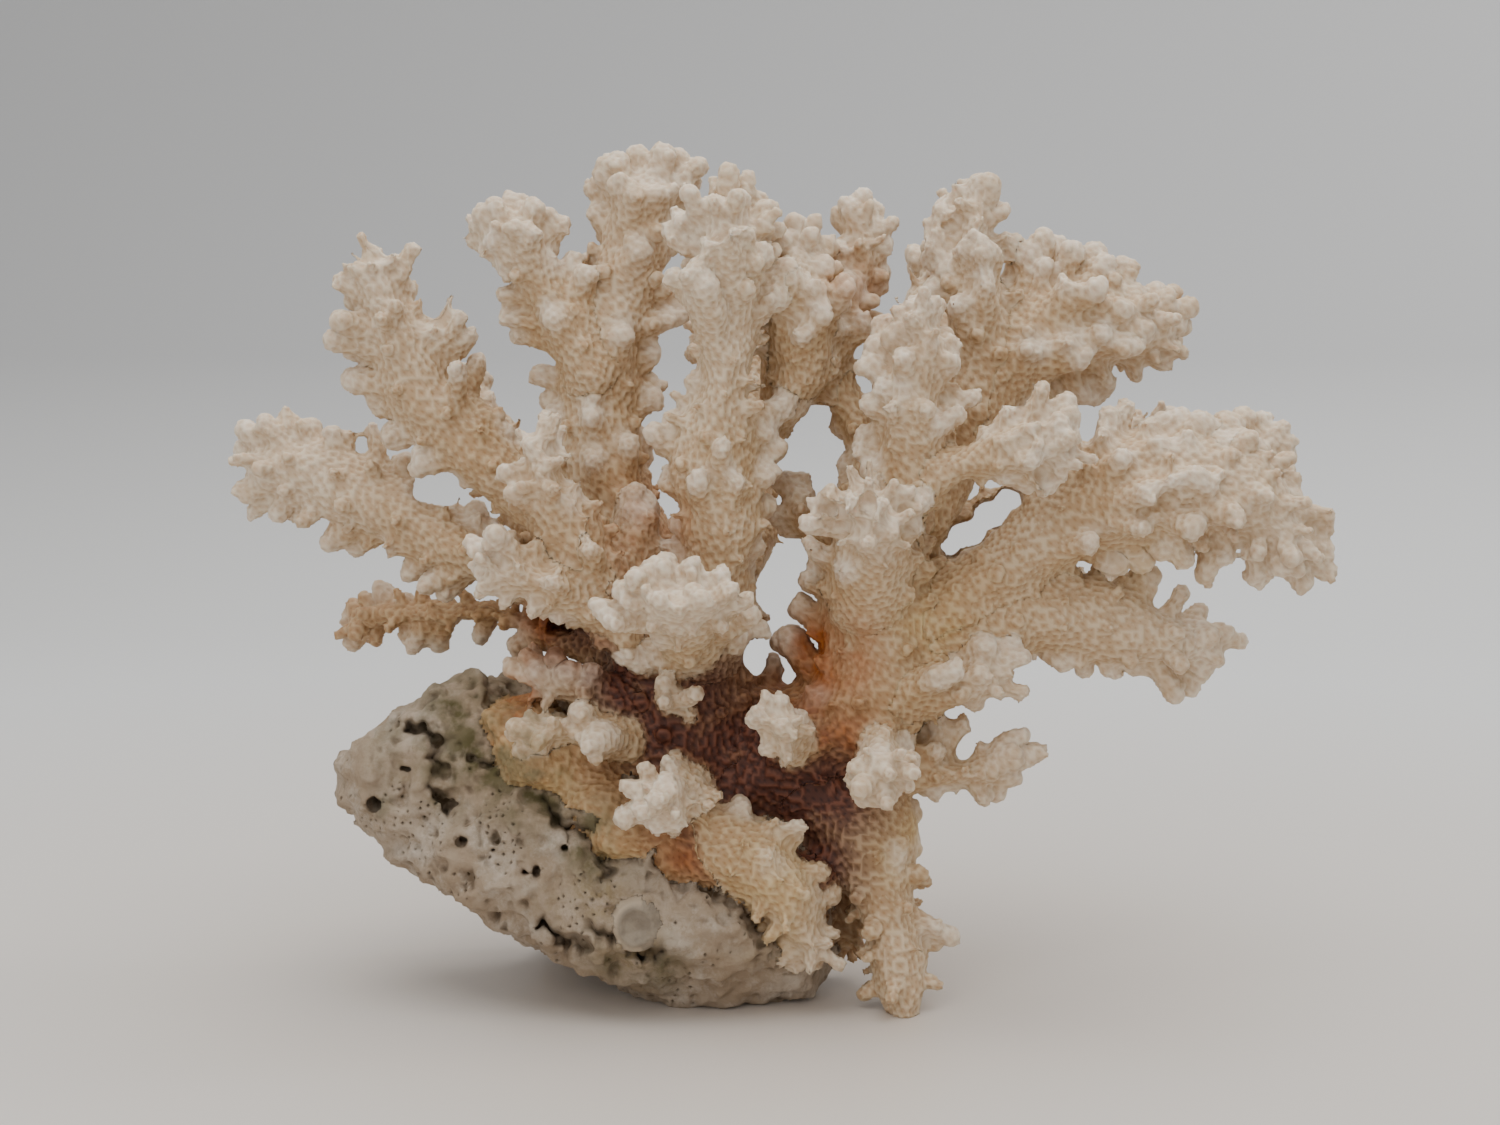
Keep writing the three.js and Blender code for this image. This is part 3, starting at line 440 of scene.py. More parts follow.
# Flat breaks of the rock: which way each looks, and a point on it
BREAKS = [
    ((-0.5, -0.15, -0.86), (-69, -5, 24.2)), ((-0.3, -0.95, 0.1), (-60, -16, 38)),
    ((-0.6, 0, 0.8), (-82, 10, 55)), ((0.1, -0.8, -0.6), (-25, -16, 12)),
    ((-0.2, 0.2, 1.0), (-58, 10, 67)), ((0.1, -0.95, 0.35), (-30, -18.5, 25)),
]
# Openings between branches as the viewer sees them at depth 0: x, z, half width, half height
OPENINGS = [
    (-69.6, 103.6, 4.8, 2.4), (-67.2, 106.0, 2.4, 2.0), (44.9, 102.0, 3.0, 2.4), (40.9, 99.0, 3.8, 2.8),
    (36.5, 95.4, 3.6, 2.8), (33.0, 92.4, 1.8, 1.8), (-1.0, 86.0, 3.4, 6.8), (-3.4, 83.6, 2.4, 4.4),
    (2.0, 90.0, 2.0, 2.6), (-6.0, 70.4, 2.2, 3.4), (-22.7, 130.6, 2.2, 5.0), (-24.1, 127.5, 2.0, 2.0),
    (-55.0, 125.1, 2.6, 5.4), (-57.3, 129.8, 2.0, 2.8), (22.8, 147.9, 1.2, 6.8), (4.5, 112.4, 3.8, 4.4),
    (-69.6, 143.2, 1.8, 4.4), (-40.5, 154.2, 1.6, 3.2), (60.0, 117.0, 1.2, 3.6), (-24.9, 107.6, 1.0, 1.4),
    (50.1, 67.4, 4.0, 1.4), (44.2, 57.2, 4.8, 1.6),
]
# Where the photograph was taken from, as near as it shows
EYE = (-7.0, -450.0, 135.0)
# The round shell in the rock's face: x, y, z, radius x, radius y, radius z
SHELL = (-29, -18.9, 20.5, 4.8, 2.8, 5.4)
# The crust that creeps from the trunk over the rock: x, y, z and the same radii
CRUST = [
    (-52, 4, 55, 10, 13, 7), (-46, 0, 50, 12, 13, 8), (-38, -2, 42, 12, 13, 9), (-28, -4, 36, 13, 13, 8),
    (-16, -4, 31, 13, 12, 7), (-4, -4, 25, 11, 11, 8), (2, 0, 20, 8, 12, 10),
]


def unit(v):
    """Vectors of length one."""
    return v / np.maximum(np.linalg.norm(v, axis=-1, keepdims=True), 1e-9)


def hashed(i, j, k, seed):
    """A fixed pseudo-random number from 0 to 1 for each whole-number lattice point."""
    h = (i.astype(np.uint32) * np.uint32(73856093)) ^ (j.astype(np.uint32) * np.uint32(19349663))
    h ^= (k.astype(np.uint32) * np.uint32(83492791)) ^ np.uint32(seed * 2654435 + 97)
    h = (h ^ (h >> np.uint32(13))) * np.uint32(1274126177)
    h = (h ^ (h >> np.uint32(16))) * np.uint32(2246822519)
    h ^= h >> np.uint32(15)
    return (h & np.uint32(0xFFFFFF)).astype(np.float32) / np.float32(0x1000000)


def noise(p, size, seed):
    """Smooth waves from -1 to 1: lattice values blended across each cell of the given size."""
    q = p / size
    low = np.floor(q).astype(np.int64)
    f = q - low
    f = f * f * (3 - 2 * f)
    total = 0.0
    for n in range(8):
        a, b, c = n & 1, (n >> 1) & 1, n >> 2
        weight = (np.where(a, f[:, 0], 1 - f[:, 0]) * np.where(b, f[:, 1], 1 - f[:, 1])
                  * np.where(c, f[:, 2], 1 - f[:, 2]))
        total = total + weight * hashed(low[:, 0] + a, low[:, 1] + b, low[:, 2] + c, seed)
    return total * 2 - 1


def knob_distance(p, size, seed):
    """Distance to the nearest of scattered points, one in each cell, as a part of the cell's size."""
    q = p / size
    low = np.floor(q).astype(np.int64)
    nearest = np.full(len(p), 9.0)
    for n in range(27):
        cell = low + (np.array([n % 3, (n // 3) % 3, n // 9]) - 1)
        spot = [cell[:, a] + hashed(cell[:, 0], cell[:, 1], cell[:, 2], seed + 11 * a) for a in range(3)]
        gap = sum((q[:, a] - spot[a]) ** 2 for a in range(3))
        nearest = np.minimum(nearest, gap)
    return np.sqrt(nearest)


def spine_samples(stations, face):
    """Even samples of the smooth curve through the stations: centre, frame, section and part of the way.

    Between two stations the curve is a cubic whose slope at each is half the step between its
    neighbours. The section's side is the curve's direction crossed with the way its face looks.
    """
    s = np.array(stations, float)
    ends = np.vstack([2 * s[0] - s[1], s, 2 * s[-1] - s[-2]])
    out = []
    for i in range(len(s) - 1):
        a, b, c, d = ends[i:i + 4]
        count = max(2, int(np.linalg.norm(c[:3] - b[:3]) / SPINE_STEP))
        t = (np.arange(count + (i == len(s) - 2)) / count)[:, None]
        curve = 0.5 * (2 * b + (c - a) * t + (2 * a - 5 * b + 4 * c - d) * t ** 2
                       + (3 * b - a - 3 * c + d) * t ** 3)
        straight = b + (c - b) * t
        out.append(np.hstack([curve[:, :3], straight[:, 3:], (i + t) / (len(s) - 1)]))
    rows = np.vstack(out)
    along = unit(np.gradient(rows[:, :3], axis=0))
    side = unit(np.cross(along, np.array(face)))
    normal = unit(np.cross(side, along))
    return {"centre": rows[:, :3], "wide": rows[:, 3], "thick": rows[:, 4], "way": rows[:, 5],
            "along": along, "side": side, "normal": normal}


def finger_root(spine, tip):
    """The spine's point nearest to the tip, taken back towards the root so that the finger leans out."""
    gaps = np.linalg.norm(spine["centre"] - tip, axis=1)
    nearest = int(np.argmin(gaps))
    offset = tip - spine["centre"][nearest]
    facing = abs(float(offset @ spine["normal"][nearest])) / max(gaps[nearest], TINY)
    back = int((TIP_SWEEP + FACE_SWEEP * facing) * gaps[nearest] / SPINE_STEP)
    return spine["centre"][max(nearest - back, 0)]


def seen(x, y, z):
    """Where the eye sees each point at depth 0: across and above, and how much larger than there."""
    scale = -np.float32(EYE[1]) / (y - np.float32(EYE[1]))
    return EYE[0] + (x - EYE[0]) * scale, EYE[2] + (z - EYE[2]) * scale, scale


def crack_weight(x, y, z):
    """How deep each point of the rock's front lies in a crack, 0 to 1.

    The depth falls off evenly from the crack's line as seen from the eye. The lines wander: a broad
    and a fine sine wave of each of the seen coordinates shift the other.
    """
    across, above, _ = seen(x, y, z)
    across, above = (across + BROAD_WANDER * np.sin(above * 0.9) + FINE_WANDER * np.sin(above * 2.3),
                     above + BROAD_WANDER * np.sin(across * 0.8) + FINE_WANDER * np.sin(across * 2.1))
    deepest = np.zeros(across.shape, np.float32)
    for x0, y0, z0, x1, y1, z1, half in CRACKS:
        a, b, _ = seen(x0, y0, z0)
        way = np.array(seen(x1, y1, z1)[:2]) - (a, b)
        t = np.clip(((across - a) * way[0] + (above - b) * way[1]) / (way @ way), 0, 1)
        gap = np.hypot(across - a - t * way[0], above - b - t * way[1])
        deepest = np.maximum(deepest, 1 - gap / np.float32(half * CRACK_WIDTH))
    return np.where(y < CRACK_BACK, deepest, 0).astype(np.float32)


class Field:
    """How far each grid point lies outside the coral, and which piece it belongs to."""

    def __init__(self, voxel):
        self.voxel = voxel
        self.low = np.array(FIELD_LOW)
        self.shape = tuple(int(math.ceil((h - l) / voxel)) for l, h in zip(FIELD_LOW, FIELD_HIGH))
        self.far = np.full(self.shape, FAR, np.float32)
        self.label = np.zeros(self.shape, np.uint8)

    def window(self, low, high):
        """The grid's part between two corners, and its points' coordinates as three thin arrays."""
        first = np.maximum(np.floor((np.array(low) - self.low) / self.voxel).astype(int), 0)
        last = np.minimum(np.ceil((np.array(high) - self.low) / self.voxel).astype(int) + 1, self.shape)
        span = tuple(slice(int(a), int(b)) for a, b in zip(first, last))
        axes = [(self.low[n] + np.arange(first[n], last[n]) * self.voxel).astype(np.float32)
                for n in range(3)]
        return span, (axes[0][:, None, None], axes[1][None, :, None], axes[2][None, None, :])


def oval(points, centre, axes, radii):
    """Distance to an oval body: k(k-1)/m, with k the scaled distance and m its slope."""
    offset = [points[n] - np.float32(centre[n]) for n in range(3)]
    k = 0
    m = 0
    for axis, radius in zip(axes, radii):
        part = sum(offset[n] * np.float32(axis[n]) for n in range(3)) / np.float32(radius)
        k = k + part ** 2
        m = m + (part / np.float32(radius)) ** 2
    k = np.sqrt(k)
    return k * (k - 1) / np.maximum(np.sqrt(m), 1e-4)


def capsule(points, root, tip, root_radius, tip_radius):
    """Distance to a rod with round ends that tapers from the root to the tip."""
    way = np.array(tip, float) - root
    length = max(float(way @ way), TINY)
    offset = [points[n] - np.float32(root[n]) for n in range(3)]
    t = np.clip(sum(offset[n] * np.float32(way[n]) for n in range(3)) / np.float32(length), 0, 1)
    gap = np.sqrt(sum((offset[n] - t * np.float32(way[n])) ** 2 for n in range(3)))
    return gap - (root_radius + (tip_radius - root_radius) * t)


def soft_min(a, b, blend):
    """The lower of two distances, rounded where they meet."""
    h = np.maximum(blend - np.abs(a - b), 0) / blend
    return np.minimum(a, b) - h * h * np.float32(blend / 4)


def warts(spine, rng):
    """Small bumps scattered over a branch, longer and closer towards its growing end.

    A point of the skin is the spine's centre plus the section's oval at a random angle, and past the
    last station a random direction of the rounded end. Each bump leans from the skin's own direction
    towards the way the branch grows. One that comes too close to an earlier one is dropped.
    """
    size = np.sqrt(spine["wide"] * spine["thick"])
    area = (2 * math.pi * size * SPINE_STEP).sum() + 2 * math.pi * size[-1] ** 2
    count = int(2.2 * area / WART_GAP ** 2)
    last = len(size) - 1
    pick = rng.choice(last + 1, count, p=np.append(size[:-1] * SPINE_STEP, size[-1] ** 2) / (
        (size[:-1] * SPINE_STEP).sum() + size[-1] ** 2))
    angle = rng.uniform(0, 2 * math.pi, count)
    angle = angle - 0.45 * np.sin(2 * angle)
    lean = np.where(pick == last, rng.uniform(0, 1, count), 0.0)
    flat = np.sqrt(1 - lean ** 2)
    wide, thick = spine["wide"][pick], spine["thick"][pick]
    c, s = np.cos(angle) * flat, np.sin(angle) * flat
    side, normal, along = spine["side"][pick], spine["normal"][pick], spine["along"][pick]
    skin = (spine["centre"][pick] + side * (wide * c)[:, None] + normal * (thick * s)[:, None]
            + along * (np.minimum(wide, thick) * lean)[:, None])
    out = unit(side * (c / wide)[:, None] + normal * (s / thick)[:, None]
               + along * (lean / np.minimum(wide, thick))[:, None])
    grown = np.clip((spine["way"][pick] - 0.1) / 0.9, 0, 1)
    way = unit(out + along * (0.35 + 0.5 * grown)[:, None])
    length = (0.2 + 2.7 * grown) * rng.uniform(0.2, 1.1, count)
    radius = (0.95 + 0.35 * grown) * rng.uniform(0.7, 1.35, count)
    spacing = rng.uniform(0.8, 1.5, count)
    kept = []
    for n in range(count):
        if skin[n, 2] < 4:
            continue
        near = WART_GAP * (1.9 - 0.9 * grown[n]) * spacing[n]
        if all(((skin[n] - skin[m]) ** 2).sum() > near ** 2 for m in kept):
            kept.append(n)
    root, tip = skin - out * WART_SINK, skin + way * length[:, None] - out * WART_DIP
    return [(root[n], tip[n], radius[n]) for n in kept]


def grow_branch(field, label, stations, tips, face, rng):
    """Add one branch: ovals strung along its spine, and a tapered rod for each finger."""
    spine = spine_samples(stations, face)
    reach = np.maximum(spine["wide"], spine["thick"])[:, None] + FAR
    corners = [spine["centre"] - reach, spine["centre"] + reach]
    for x, y, z, r in tips:
        corners.append(np.array([(x, y, z), (x, y, z)]) + [[-r - FAR], [r + FAR]])
    corners = np.vstack(corners)
    span, _ = field.window(corners.min(axis=0), corners.max(axis=0))
    own = np.full(field.far[span].shape, FAR, np.float32)
    first = [way.start for way in span]
    room = [field.low + np.array(first) * field.voxel,
            field.low + (np.array([way.stop for way in span]) - 1) * field.voxel]

    def part(low, high):
        """The part of this branch's own box between two corners, and its points' coordinates."""
        inner, inner_points = field.window(np.clip(low, *room), np.clip(high, *room) - field.voxel)
        return tuple(slice(way.start - n, way.stop - n) for way, n in zip(inner, first)), inner_points

    swell = 1 + SWELL * noise(spine["centre"], 11.0, 12) + 0.5 * SWELL * noise(spine["centre"], 5.0, 13)
    for n in range(len(spine["centre"])):
        shrink = BODY_SHRINK + END_SHRINK * spine["way"][n]
        wide = max(spine["wide"][n] * swell[n] - shrink, LEAST_HALF)
        thick = max(spine["thick"][n] - shrink * 0.5, LEAST_HALF)
        centre = spine["centre"][n]
        radii = (wide, thick, min(wide, thick) * (1.0 if n else 0.8))
        box = max(wide, thick) + NEAR
        inner, inner_points = part(centre - box, centre + box)
        gap = oval(inner_points, centre, (spine["side"][n], spine["normal"][n], spine["along"][n]), radii)
        own[inner] = np.minimum(own[inner], gap)
    for x, y, z, r in tips:
        tip = np.array([x, y, z], float)
        r = max(r, LEAST_RADIUS)
        root = finger_root(spine, tip)
        low = np.minimum(root, tip) - r - NEAR
        high = np.maximum(root, tip) + r + NEAR
        inner, inner_points = part(low, high)
        nearest = np.linalg.norm(spine["centre"] - tip, axis=1).argmin()
        facing = abs(float(unit(tip - spine["centre"][nearest]) @ spine["normal"][nearest]))
        end = tip + unit(root - tip) * (TIP_SINK + FACE_SINK * facing)
        gap = capsule(inner_points, root, end, r * FINGER_TAPER, r)
        for _ in range(BUDS):
            bud = end + unit(rng.normal(size=3)) * r * BUD_REACH
            base = root + (end - root) * rng.uniform(0.5, 0.9)
            gap = np.minimum(gap, capsule(inner_points, base, bud, r * BUD_ROOT, r * rng.uniform(0.45, 0.65)))
        own[inner] = soft_min(own[inner], gap, FINGER_BLEND + FACE_BLEND * facing)
    for root, tip, radius in warts(spine, rng):
        margin = radius + WART_MARGIN
        inner, inner_points = part(np.minimum(root, tip) - margin, np.maximum(root, tip) + margin)
        gap = capsule(inner_points, root, tip, radius * WART_TAPER, radius)
        own[inner] = soft_min(own[inner], gap, WART_BLEND)
    join(field, span, own, label, BRANCH_BLEND)


def join(field, span, own, label, blend):
    """Let one body grow into the field, and mark the points that lie nearer to it than to the others."""
    nearer = own < field.far[span]
    field.label[span][nearer & (own < NEAR)] = label
    field.far[span] = soft_min(field.far[span], own.astype(np.float32), blend)


def grown_ovals(field, rows, blend):
    """The grid's part round the ovals of a table, its points, and the ovals grown together there."""
    solids = np.array(rows, float)
    span, points = field.window((solids[:, :3] - solids[:, 3:]).min(axis=0) - FAR,
                                (solids[:, :3] + solids[:, 3:]).max(axis=0) + FAR)
    own = None
    for values in rows:
        gap = oval(points, values[:3], AXES, values[3:])
        own = gap if own is None else soft_min(own, gap, blend)
    return span, points, own


def waves_near(points, own, waves):
    """A sum of waves at the grid points within the given distance of a body's skin, and 0 elsewhere."""
    grid = np.stack(np.broadcast_arrays(*points), axis=-1).reshape(-1, 3)
    close = np.abs(own).reshape(-1) < ROUGH_REACH
    rough = np.zeros(len(grid), np.float32)
    rough[close] = waves(grid[close])
    return rough.reshape(own.shape)


def rock_waves(p):
    """The rock's roughness: a long wave, and three ridged ones, each the size of a wave of noise."""
    return (1.8 * noise(p, 17.0, 3) + 3.6 * np.abs(noise(p, 11.0, 4)) + 2.4 * np.abs(noise(p, 5.5, 5))
            + 1.5 * np.abs(noise(p, 2.6, 6)))


def crust_waves(p):
    """The crust's roughness: a long wave and a short one."""
    return 2.4 * noise(p, 10.0, 8) + 1.3 * noise(p, 5.0, 9)


def lay_rock(field, label):
    """Add the rock: boulders grown together, cut by flat breaks, roughened with waves, less its hollows."""
    span, points, own = grown_ovals(field, BOULDERS, BOULDER_BLEND)
    for normal, spot in BREAKS:
        normal = unit(np.array(normal, float))
        gap = sum(points[n] * np.float32(normal[n]) for n in range(3)) - np.float32(normal @ np.array(spot))
        own = -soft_min(-own, -gap, BREAK_BLEND)
    rough = waves_near(points, own, rock_waves)
    own = own + rough - ROUGH_MEAN
    for values in HOLLOWS:
        hollow = oval(points, values[:3], AXES, values[3:]) + rough * 0.3 - HOLLOW_GROWTH
        own = -soft_min(-own, hollow, HOLLOW_BLEND)
    own = own + CRACK_DEPTH * crack_weight(*points)
    join(field, span, own, label, ROCK_BLEND)


def lay_crust(field, label):
    """Add the living crust that creeps over the rock from the trunk: flat ovals grown together."""
    span, points, own = grown_ovals(field, CRUST, CRUST_BLEND)
    own = own + waves_near(points, own, crust_waves)
    join(field, span, own, label, ROCK_BLEND)


def clear_openings(field):
    """Cut the openings: each is an oval seen from the eye, carried through the whole depth.

    A point (x, y, z) is seen at depth 0 at EYE + (point - EYE) * depth of the eye / (y + depth of the eye).
    """
    for x, z, wide, high in OPENINGS:
        span, points = field.window((x - wide - MARGIN, FIELD_LOW[1], z - high - MARGIN),
                                    (x + wide + MARGIN, FIELD_HIGH[1], z + high + MARGIN))
        across, above, scale = seen(*points)
        across, above = (across - x) / wide, (above - z) / high
        k = np.sqrt(across ** 2 + above ** 2)
        gap = k * (k - 1) / np.maximum(np.sqrt((across / wide) ** 2 + (above / high) ** 2), 1e-4) / scale
        field.far[span] = -soft_min(-field.far[span], gap.astype(np.float32), OPENING_BLEND)


def lay_shell(field, label):
    """Add the round shell in the rock's face: an oval, less a smaller one that leaves a raised rim."""
    span, points = field.window(np.array(SHELL[:3]) - MARGIN, np.array(SHELL[:3]) + MARGIN)
    x, y, z, wide, deep, high = SHELL
    gap = oval(points, SHELL[:3], AXES, SHELL[3:])
    dish = oval(points, (x, y - deep * DISH_FRONT, z), AXES, (wide * DISH_SIZE, deep, high * DISH_SIZE))
    field.far[span] = -soft_min(-field.far[span], dish.astype(np.float32), SHELL_BLEND)
    gap = -soft_min(-gap, dish, SHELL_BLEND)
    nearer = gap < field.far[span] + SHELL_LEAD
    field.label[span][nearer & (gap < NEAR)] = label
    field.far[span] = soft_min(field.far[span], gap.astype(np.float32), SHELL_BLEND)


def surface(field):
    """The closed skin of every piece, from one grid of which piece holds each point.

    Each grid cell whose corners aren't all alike gets one point: the mean of the places where its
    edges cross the open skin, or of its inner edges' middles. Each grid edge between two unlike ends
    gets one four-sided face, which looks from the first end's piece to the second's. Neighbours
    share the faces and points where they meet, so no seam opens between them.
    """
    far, voxel = field.far, field.voxel
    far[0], far[-1] = FAR, FAR
    far[:, 0], far[:, -1] = FAR, FAR
    far[:, :, 0], far[:, :, -1] = FAR, FAR
    held = np.where(far < 0, field.label, 0).astype(np.uint8)
    nx, ny, nz = far.shape
    lowest = np.full((nx - 1, ny - 1, nz - 1), 255, np.uint8)
    highest = np.zeros_like(lowest)
    for n in range(8):
        a, b, c = n & 1, (n >> 1) & 1, n >> 2
        corner = held[a:nx - 1 + a, b:ny - 1 + b, c:nz - 1 + c]
        np.minimum(lowest, corner, out=lowest)
        np.maximum(highest, corner, out=highest)
    i, j, k = np.nonzero(lowest != highest)
    index = np.full(lowest.shape, -1, np.int32)
    index[i, j, k] = np.arange(len(i), dtype=np.int32)
    open_sum = np.zeros((len(i), 3), np.float32)
    open_count = np.zeros(len(i), np.float32)
    inner_sum = np.zeros((len(i), 3), np.float32)
    inner_count = np.zeros(len(i), np.float32)
    for axis in range(3):
        for n in range(4):
            near = [0, 0, 0]
            near[(axis + 1) % 3], near[(axis + 2) % 3] = n & 1, n >> 1
            other = list(near)
            other[axis] = 1
            a = far[i + near[0], j + near[1], k + near[2]]
            b = far[i + other[0], j + other[1], k + other[2]]
            held_a = held[i + near[0], j + near[1], k + near[2]]
            held_b = held[i + other[0], j + other[1], k + other[2]]
            crossed = (a < 0) != (b < 0)
            inner = ~crossed & (held_a != held_b)
            place = np.array(near, np.float32)[None, :].repeat(len(i), 0)
            place[:, axis] = np.where(crossed, a / np.where(crossed, a - b, 1), 0.5)
            open_sum += place * crossed[:, None]
            open_count += crossed
            inner_sum += place * inner[:, None]
            inner_count += inner
    spot = np.where(open_count[:, None] > 0, open_sum / np.maximum(open_count, 1)[:, None],
                    inner_sum / np.maximum(inner_count, 1)[:, None])
    points = (np.stack([i, j, k], axis=1) + spot) * voxel + field.low
    quads, sides = [], []
    for axis in range(3):
        u, v = (axis + 1) % 3, (axis + 2) % 3
        size = [nx, ny, nz]
        low = [slice(1, size[n] - 1) for n in range(3)]
        low[axis] = slice(0, size[axis] - 1)
        high = list(low)
        high[axis] = slice(1, size[axis])
        a, b = held[tuple(low)], held[tuple(high)]
        e = np.array(np.nonzero(a != b)).T
        sides.append(np.stack([a[tuple(e.T)], b[tuple(e.T)]], axis=1))
        e[:, u] += 1
        e[:, v] += 1
        corners = []
        for du, dv in ((-1, -1), (0, -1), (0, 0), (-1, 0)):
            q = e.copy()
            q[:, u] += du
            q[:, v] += dv
            corners.append(index[q[:, 0], q[:, 1], q[:, 2]])
        quads.append(np.stack(corners, axis=1))
    return points, np.vstack(quads), np.vstack(sides)


def point_normals(points, quads):
    """The skin's outward direction at each point: the sum of its faces' crossed diagonals."""
    crossed = np.cross(points[quads[:, 2]] - points[quads[:, 0]], points[quads[:, 3]] - points[quads[:, 1]])
    total = np.zeros_like(points)
    for axis in range(3):
        weights = np.repeat(crossed[:, axis], 4)
        total[:, axis] = np.bincount(quads.ravel(), weights, len(points))
    return unit(total)


def spread_max(values, quads):
    """For each point, the greatest value among the points that share a face with it."""
    best = values[quads].max(axis=1)
    out = values.copy()
    for n in range(4):
        np.maximum.at(out, quads[:, n], best)
    return out


def spread_mean(values, quads, rounds):
    """Values averaged over neighbouring points a few times."""
    count = np.bincount(quads.ravel(), minlength=len(values))
    for _ in range(rounds):
        mean = values[quads].mean(axis=1)
        values = np.bincount(quads.ravel(), np.repeat(mean, 4), len(values)) / np.maximum(count, 1)
    return values


def scattered(quads, wanted, rng):
    """Points picked at random among the wanted ones, never two within two faces, until few more fit."""
    rank = rng.random(len(wanted)).astype(np.float32) + 0.001
    left = wanted.copy()
    chosen = np.zeros(len(wanted), bool)
    for _ in range(9):
        value = np.where(left, rank, 0).astype(np.float32)
        new = left & (value > 0) & (value >= spread_max(spread_max(value, quads), quads))
        chosen |= new
        left &= spread_max(spread_max(new.astype(np.float32), quads), quads) == 0
    return chosen


def largest_body(points, quads):
    """Which faces belong to the largest joined body, so that no crumb is left hanging in the air."""
    body = np.arange(len(points), dtype=np.int32)
    while True:
        ends = body[quads]
        least = ends.min(axis=1)
        if (ends == least[:, None]).all():
            break
        for n in range(4):
            np.minimum.at(body, ends[:, n], least)
        for _ in range(3):
            body = body[body]
    own = body[quads[:, 0]]
    return own == np.bincount(own).argmax()


def paleness(points, label, first_label):
    """How near each point is to its branch's growing end or to a finger's tip, 0 to 1."""
    pale = np.zeros(len(points))
    for n, (name, (stations, tips)) in enumerate(BRANCHES.items()):
        own = np.flatnonzero(label == first_label + n)
        if len(own) == 0:
            continue
        here = points[own]
        spine = spine_samples(stations, UP if name in FORWARD else VIEWER)
        gaps = ((here[:, None, :] - spine["centre"][None, :, :]) ** 2).sum(axis=2)
        way = spine["way"][gaps.argmin(axis=1)]
        value = np.clip((way - 0.35) / 0.65, 0, 1) ** 1.3 * (0.65 if name not in DULL else 0.15)
        if tips:
            spots = np.array(tips, float)
            reach = np.sqrt(((here[:, None, :] - spots[None, :, :3]) ** 2).sum(axis=2)) - spots[None, :, 3]
            value = np.maximum(value, np.clip(1 - reach.min(axis=1) / 3.2, 0, 1) * 0.85)
        pale[own] = value
    return pale


def spot_weight(points, spots):
    """Soft round patches seen from the front: exp(-(distance / radius)^2), a little weaker at the back."""
    weight = np.zeros(len(points))
    for x, z, radius, strength in spots:
        gap = ((points[:, 0] - x) ** 2 + (points[:, 2] - z) ** 2) / radius ** 2
        depth = np.clip((points[:, 1] + 45) / 90, 0, 1)
        weight = np.maximum(weight, strength * np.exp(-gap) * (1 - 0.3 * depth))
    return np.minimum(weight, 1)


def piece_mesh(name, points, quads, values):
    """One closed mesh from the faces that bound one piece."""
    used, flat = np.unique(quads.ravel(), return_inverse=True)
    mesh = bpy.data.meshes.new(name)
    mesh.vertices.add(len(used))
    mesh.vertices.foreach_set("co", ((points[used] + SHIFT) * MM).astype(np.float32).ravel())
    mesh.loops.add(len(flat))
    mesh.loops.foreach_set("vertex_index", flat.astype(np.int32))
    mesh.polygons.add(len(quads))
    mesh.polygons.foreach_set("loop_start", (np.arange(len(quads)) * 4).astype(np.int32))
    mesh.update(calc_edges=True)
    mesh.polygons.foreach_set("use_smooth", np.ones(len(quads), bool))
    for key, column in values.items():
        attribute = mesh.attributes.new(key, "FLOAT", "POINT")
        attribute.data.foreach_set("value", column[used].astype(np.float32))
    piece = bpy.data.objects.new(name + "_skin", mesh)
    bpy.context.scene.collection.objects.link(piece)
    return piece


# Stains, each seen from the front: x, z and radius in mm, and strength
ORANGE = [
    (8, 71, 8, 1.5), (11, 52, 9, 1.5), (-49, 76, 6, 1.4), (-42, 78, 7, 1.5), (-53, 63, 5, 1.4),
    (-19, 35, 7, 1.1), (10, 48, 6, 1.2), (15, 145, 6, 0.6), (-27, 97, 9, 0.7), (-8, 44, 10, 0.9),
    (-29, 84, 7, 0.9), (2, 60, 9, 1.1),
]
DARK = [
    (-23, 57, 13, 1.3), (-3, 41, 15, 1.7), (-17, 63, 13, 1.1), (0, 24, 8, 1.7), (4, 18, 6, 1.4),
    (-9, 49, 14, 1.7), (-43, 76, 8, 1), (6, 30, 9, 1.3), (8, 44, 10, 1.4), (-30, 66, 10, 1.4),
]
YELLOW = [
    (29, 78, 6, 0.9), (72, 90, 6, 0.6), (-36, 27, 8, 1), (-50, 48, 10, 0.6), (-64, 60, 9, 0.4),
    (-30, 14, 8, 1), (-44, 24, 6, 0.7), (-77, 49, 6, 0.5), (-10, 12, 4, 0.6), (27, 35, 5, 0.7),
    (-3, 28, 9, 0.6), (-3, 17, 6, 0.7), (20, 30, 5, 0.5),
]
OLIVE = [
    (-33, 14, 6, 1), (-25, 11, 6, 0.9), (-81, 41, 3, 0.8), (-45, 39, 4, 1), (-41, 35, 4, 1),
    (-37, 32, 4, 1), (-71, 55, 5, 1), (-69, 49, 4, 0.9), (-69, 43, 3, 0.8), (-60, 52, 11, 1.3),
    (-78, 54, 5, 0.6), (-49, 46, 9, 1.2), (-66, 60, 8, 1.2), (-38, 39, 7, 1), (-53, 58, 8, 1),
]
# Branches whose growing ends stay dull
DULL = {"trunk_core", "right_trunk", "rear_leg", "foot_leg", "left_arm_low", "arch_branch"}
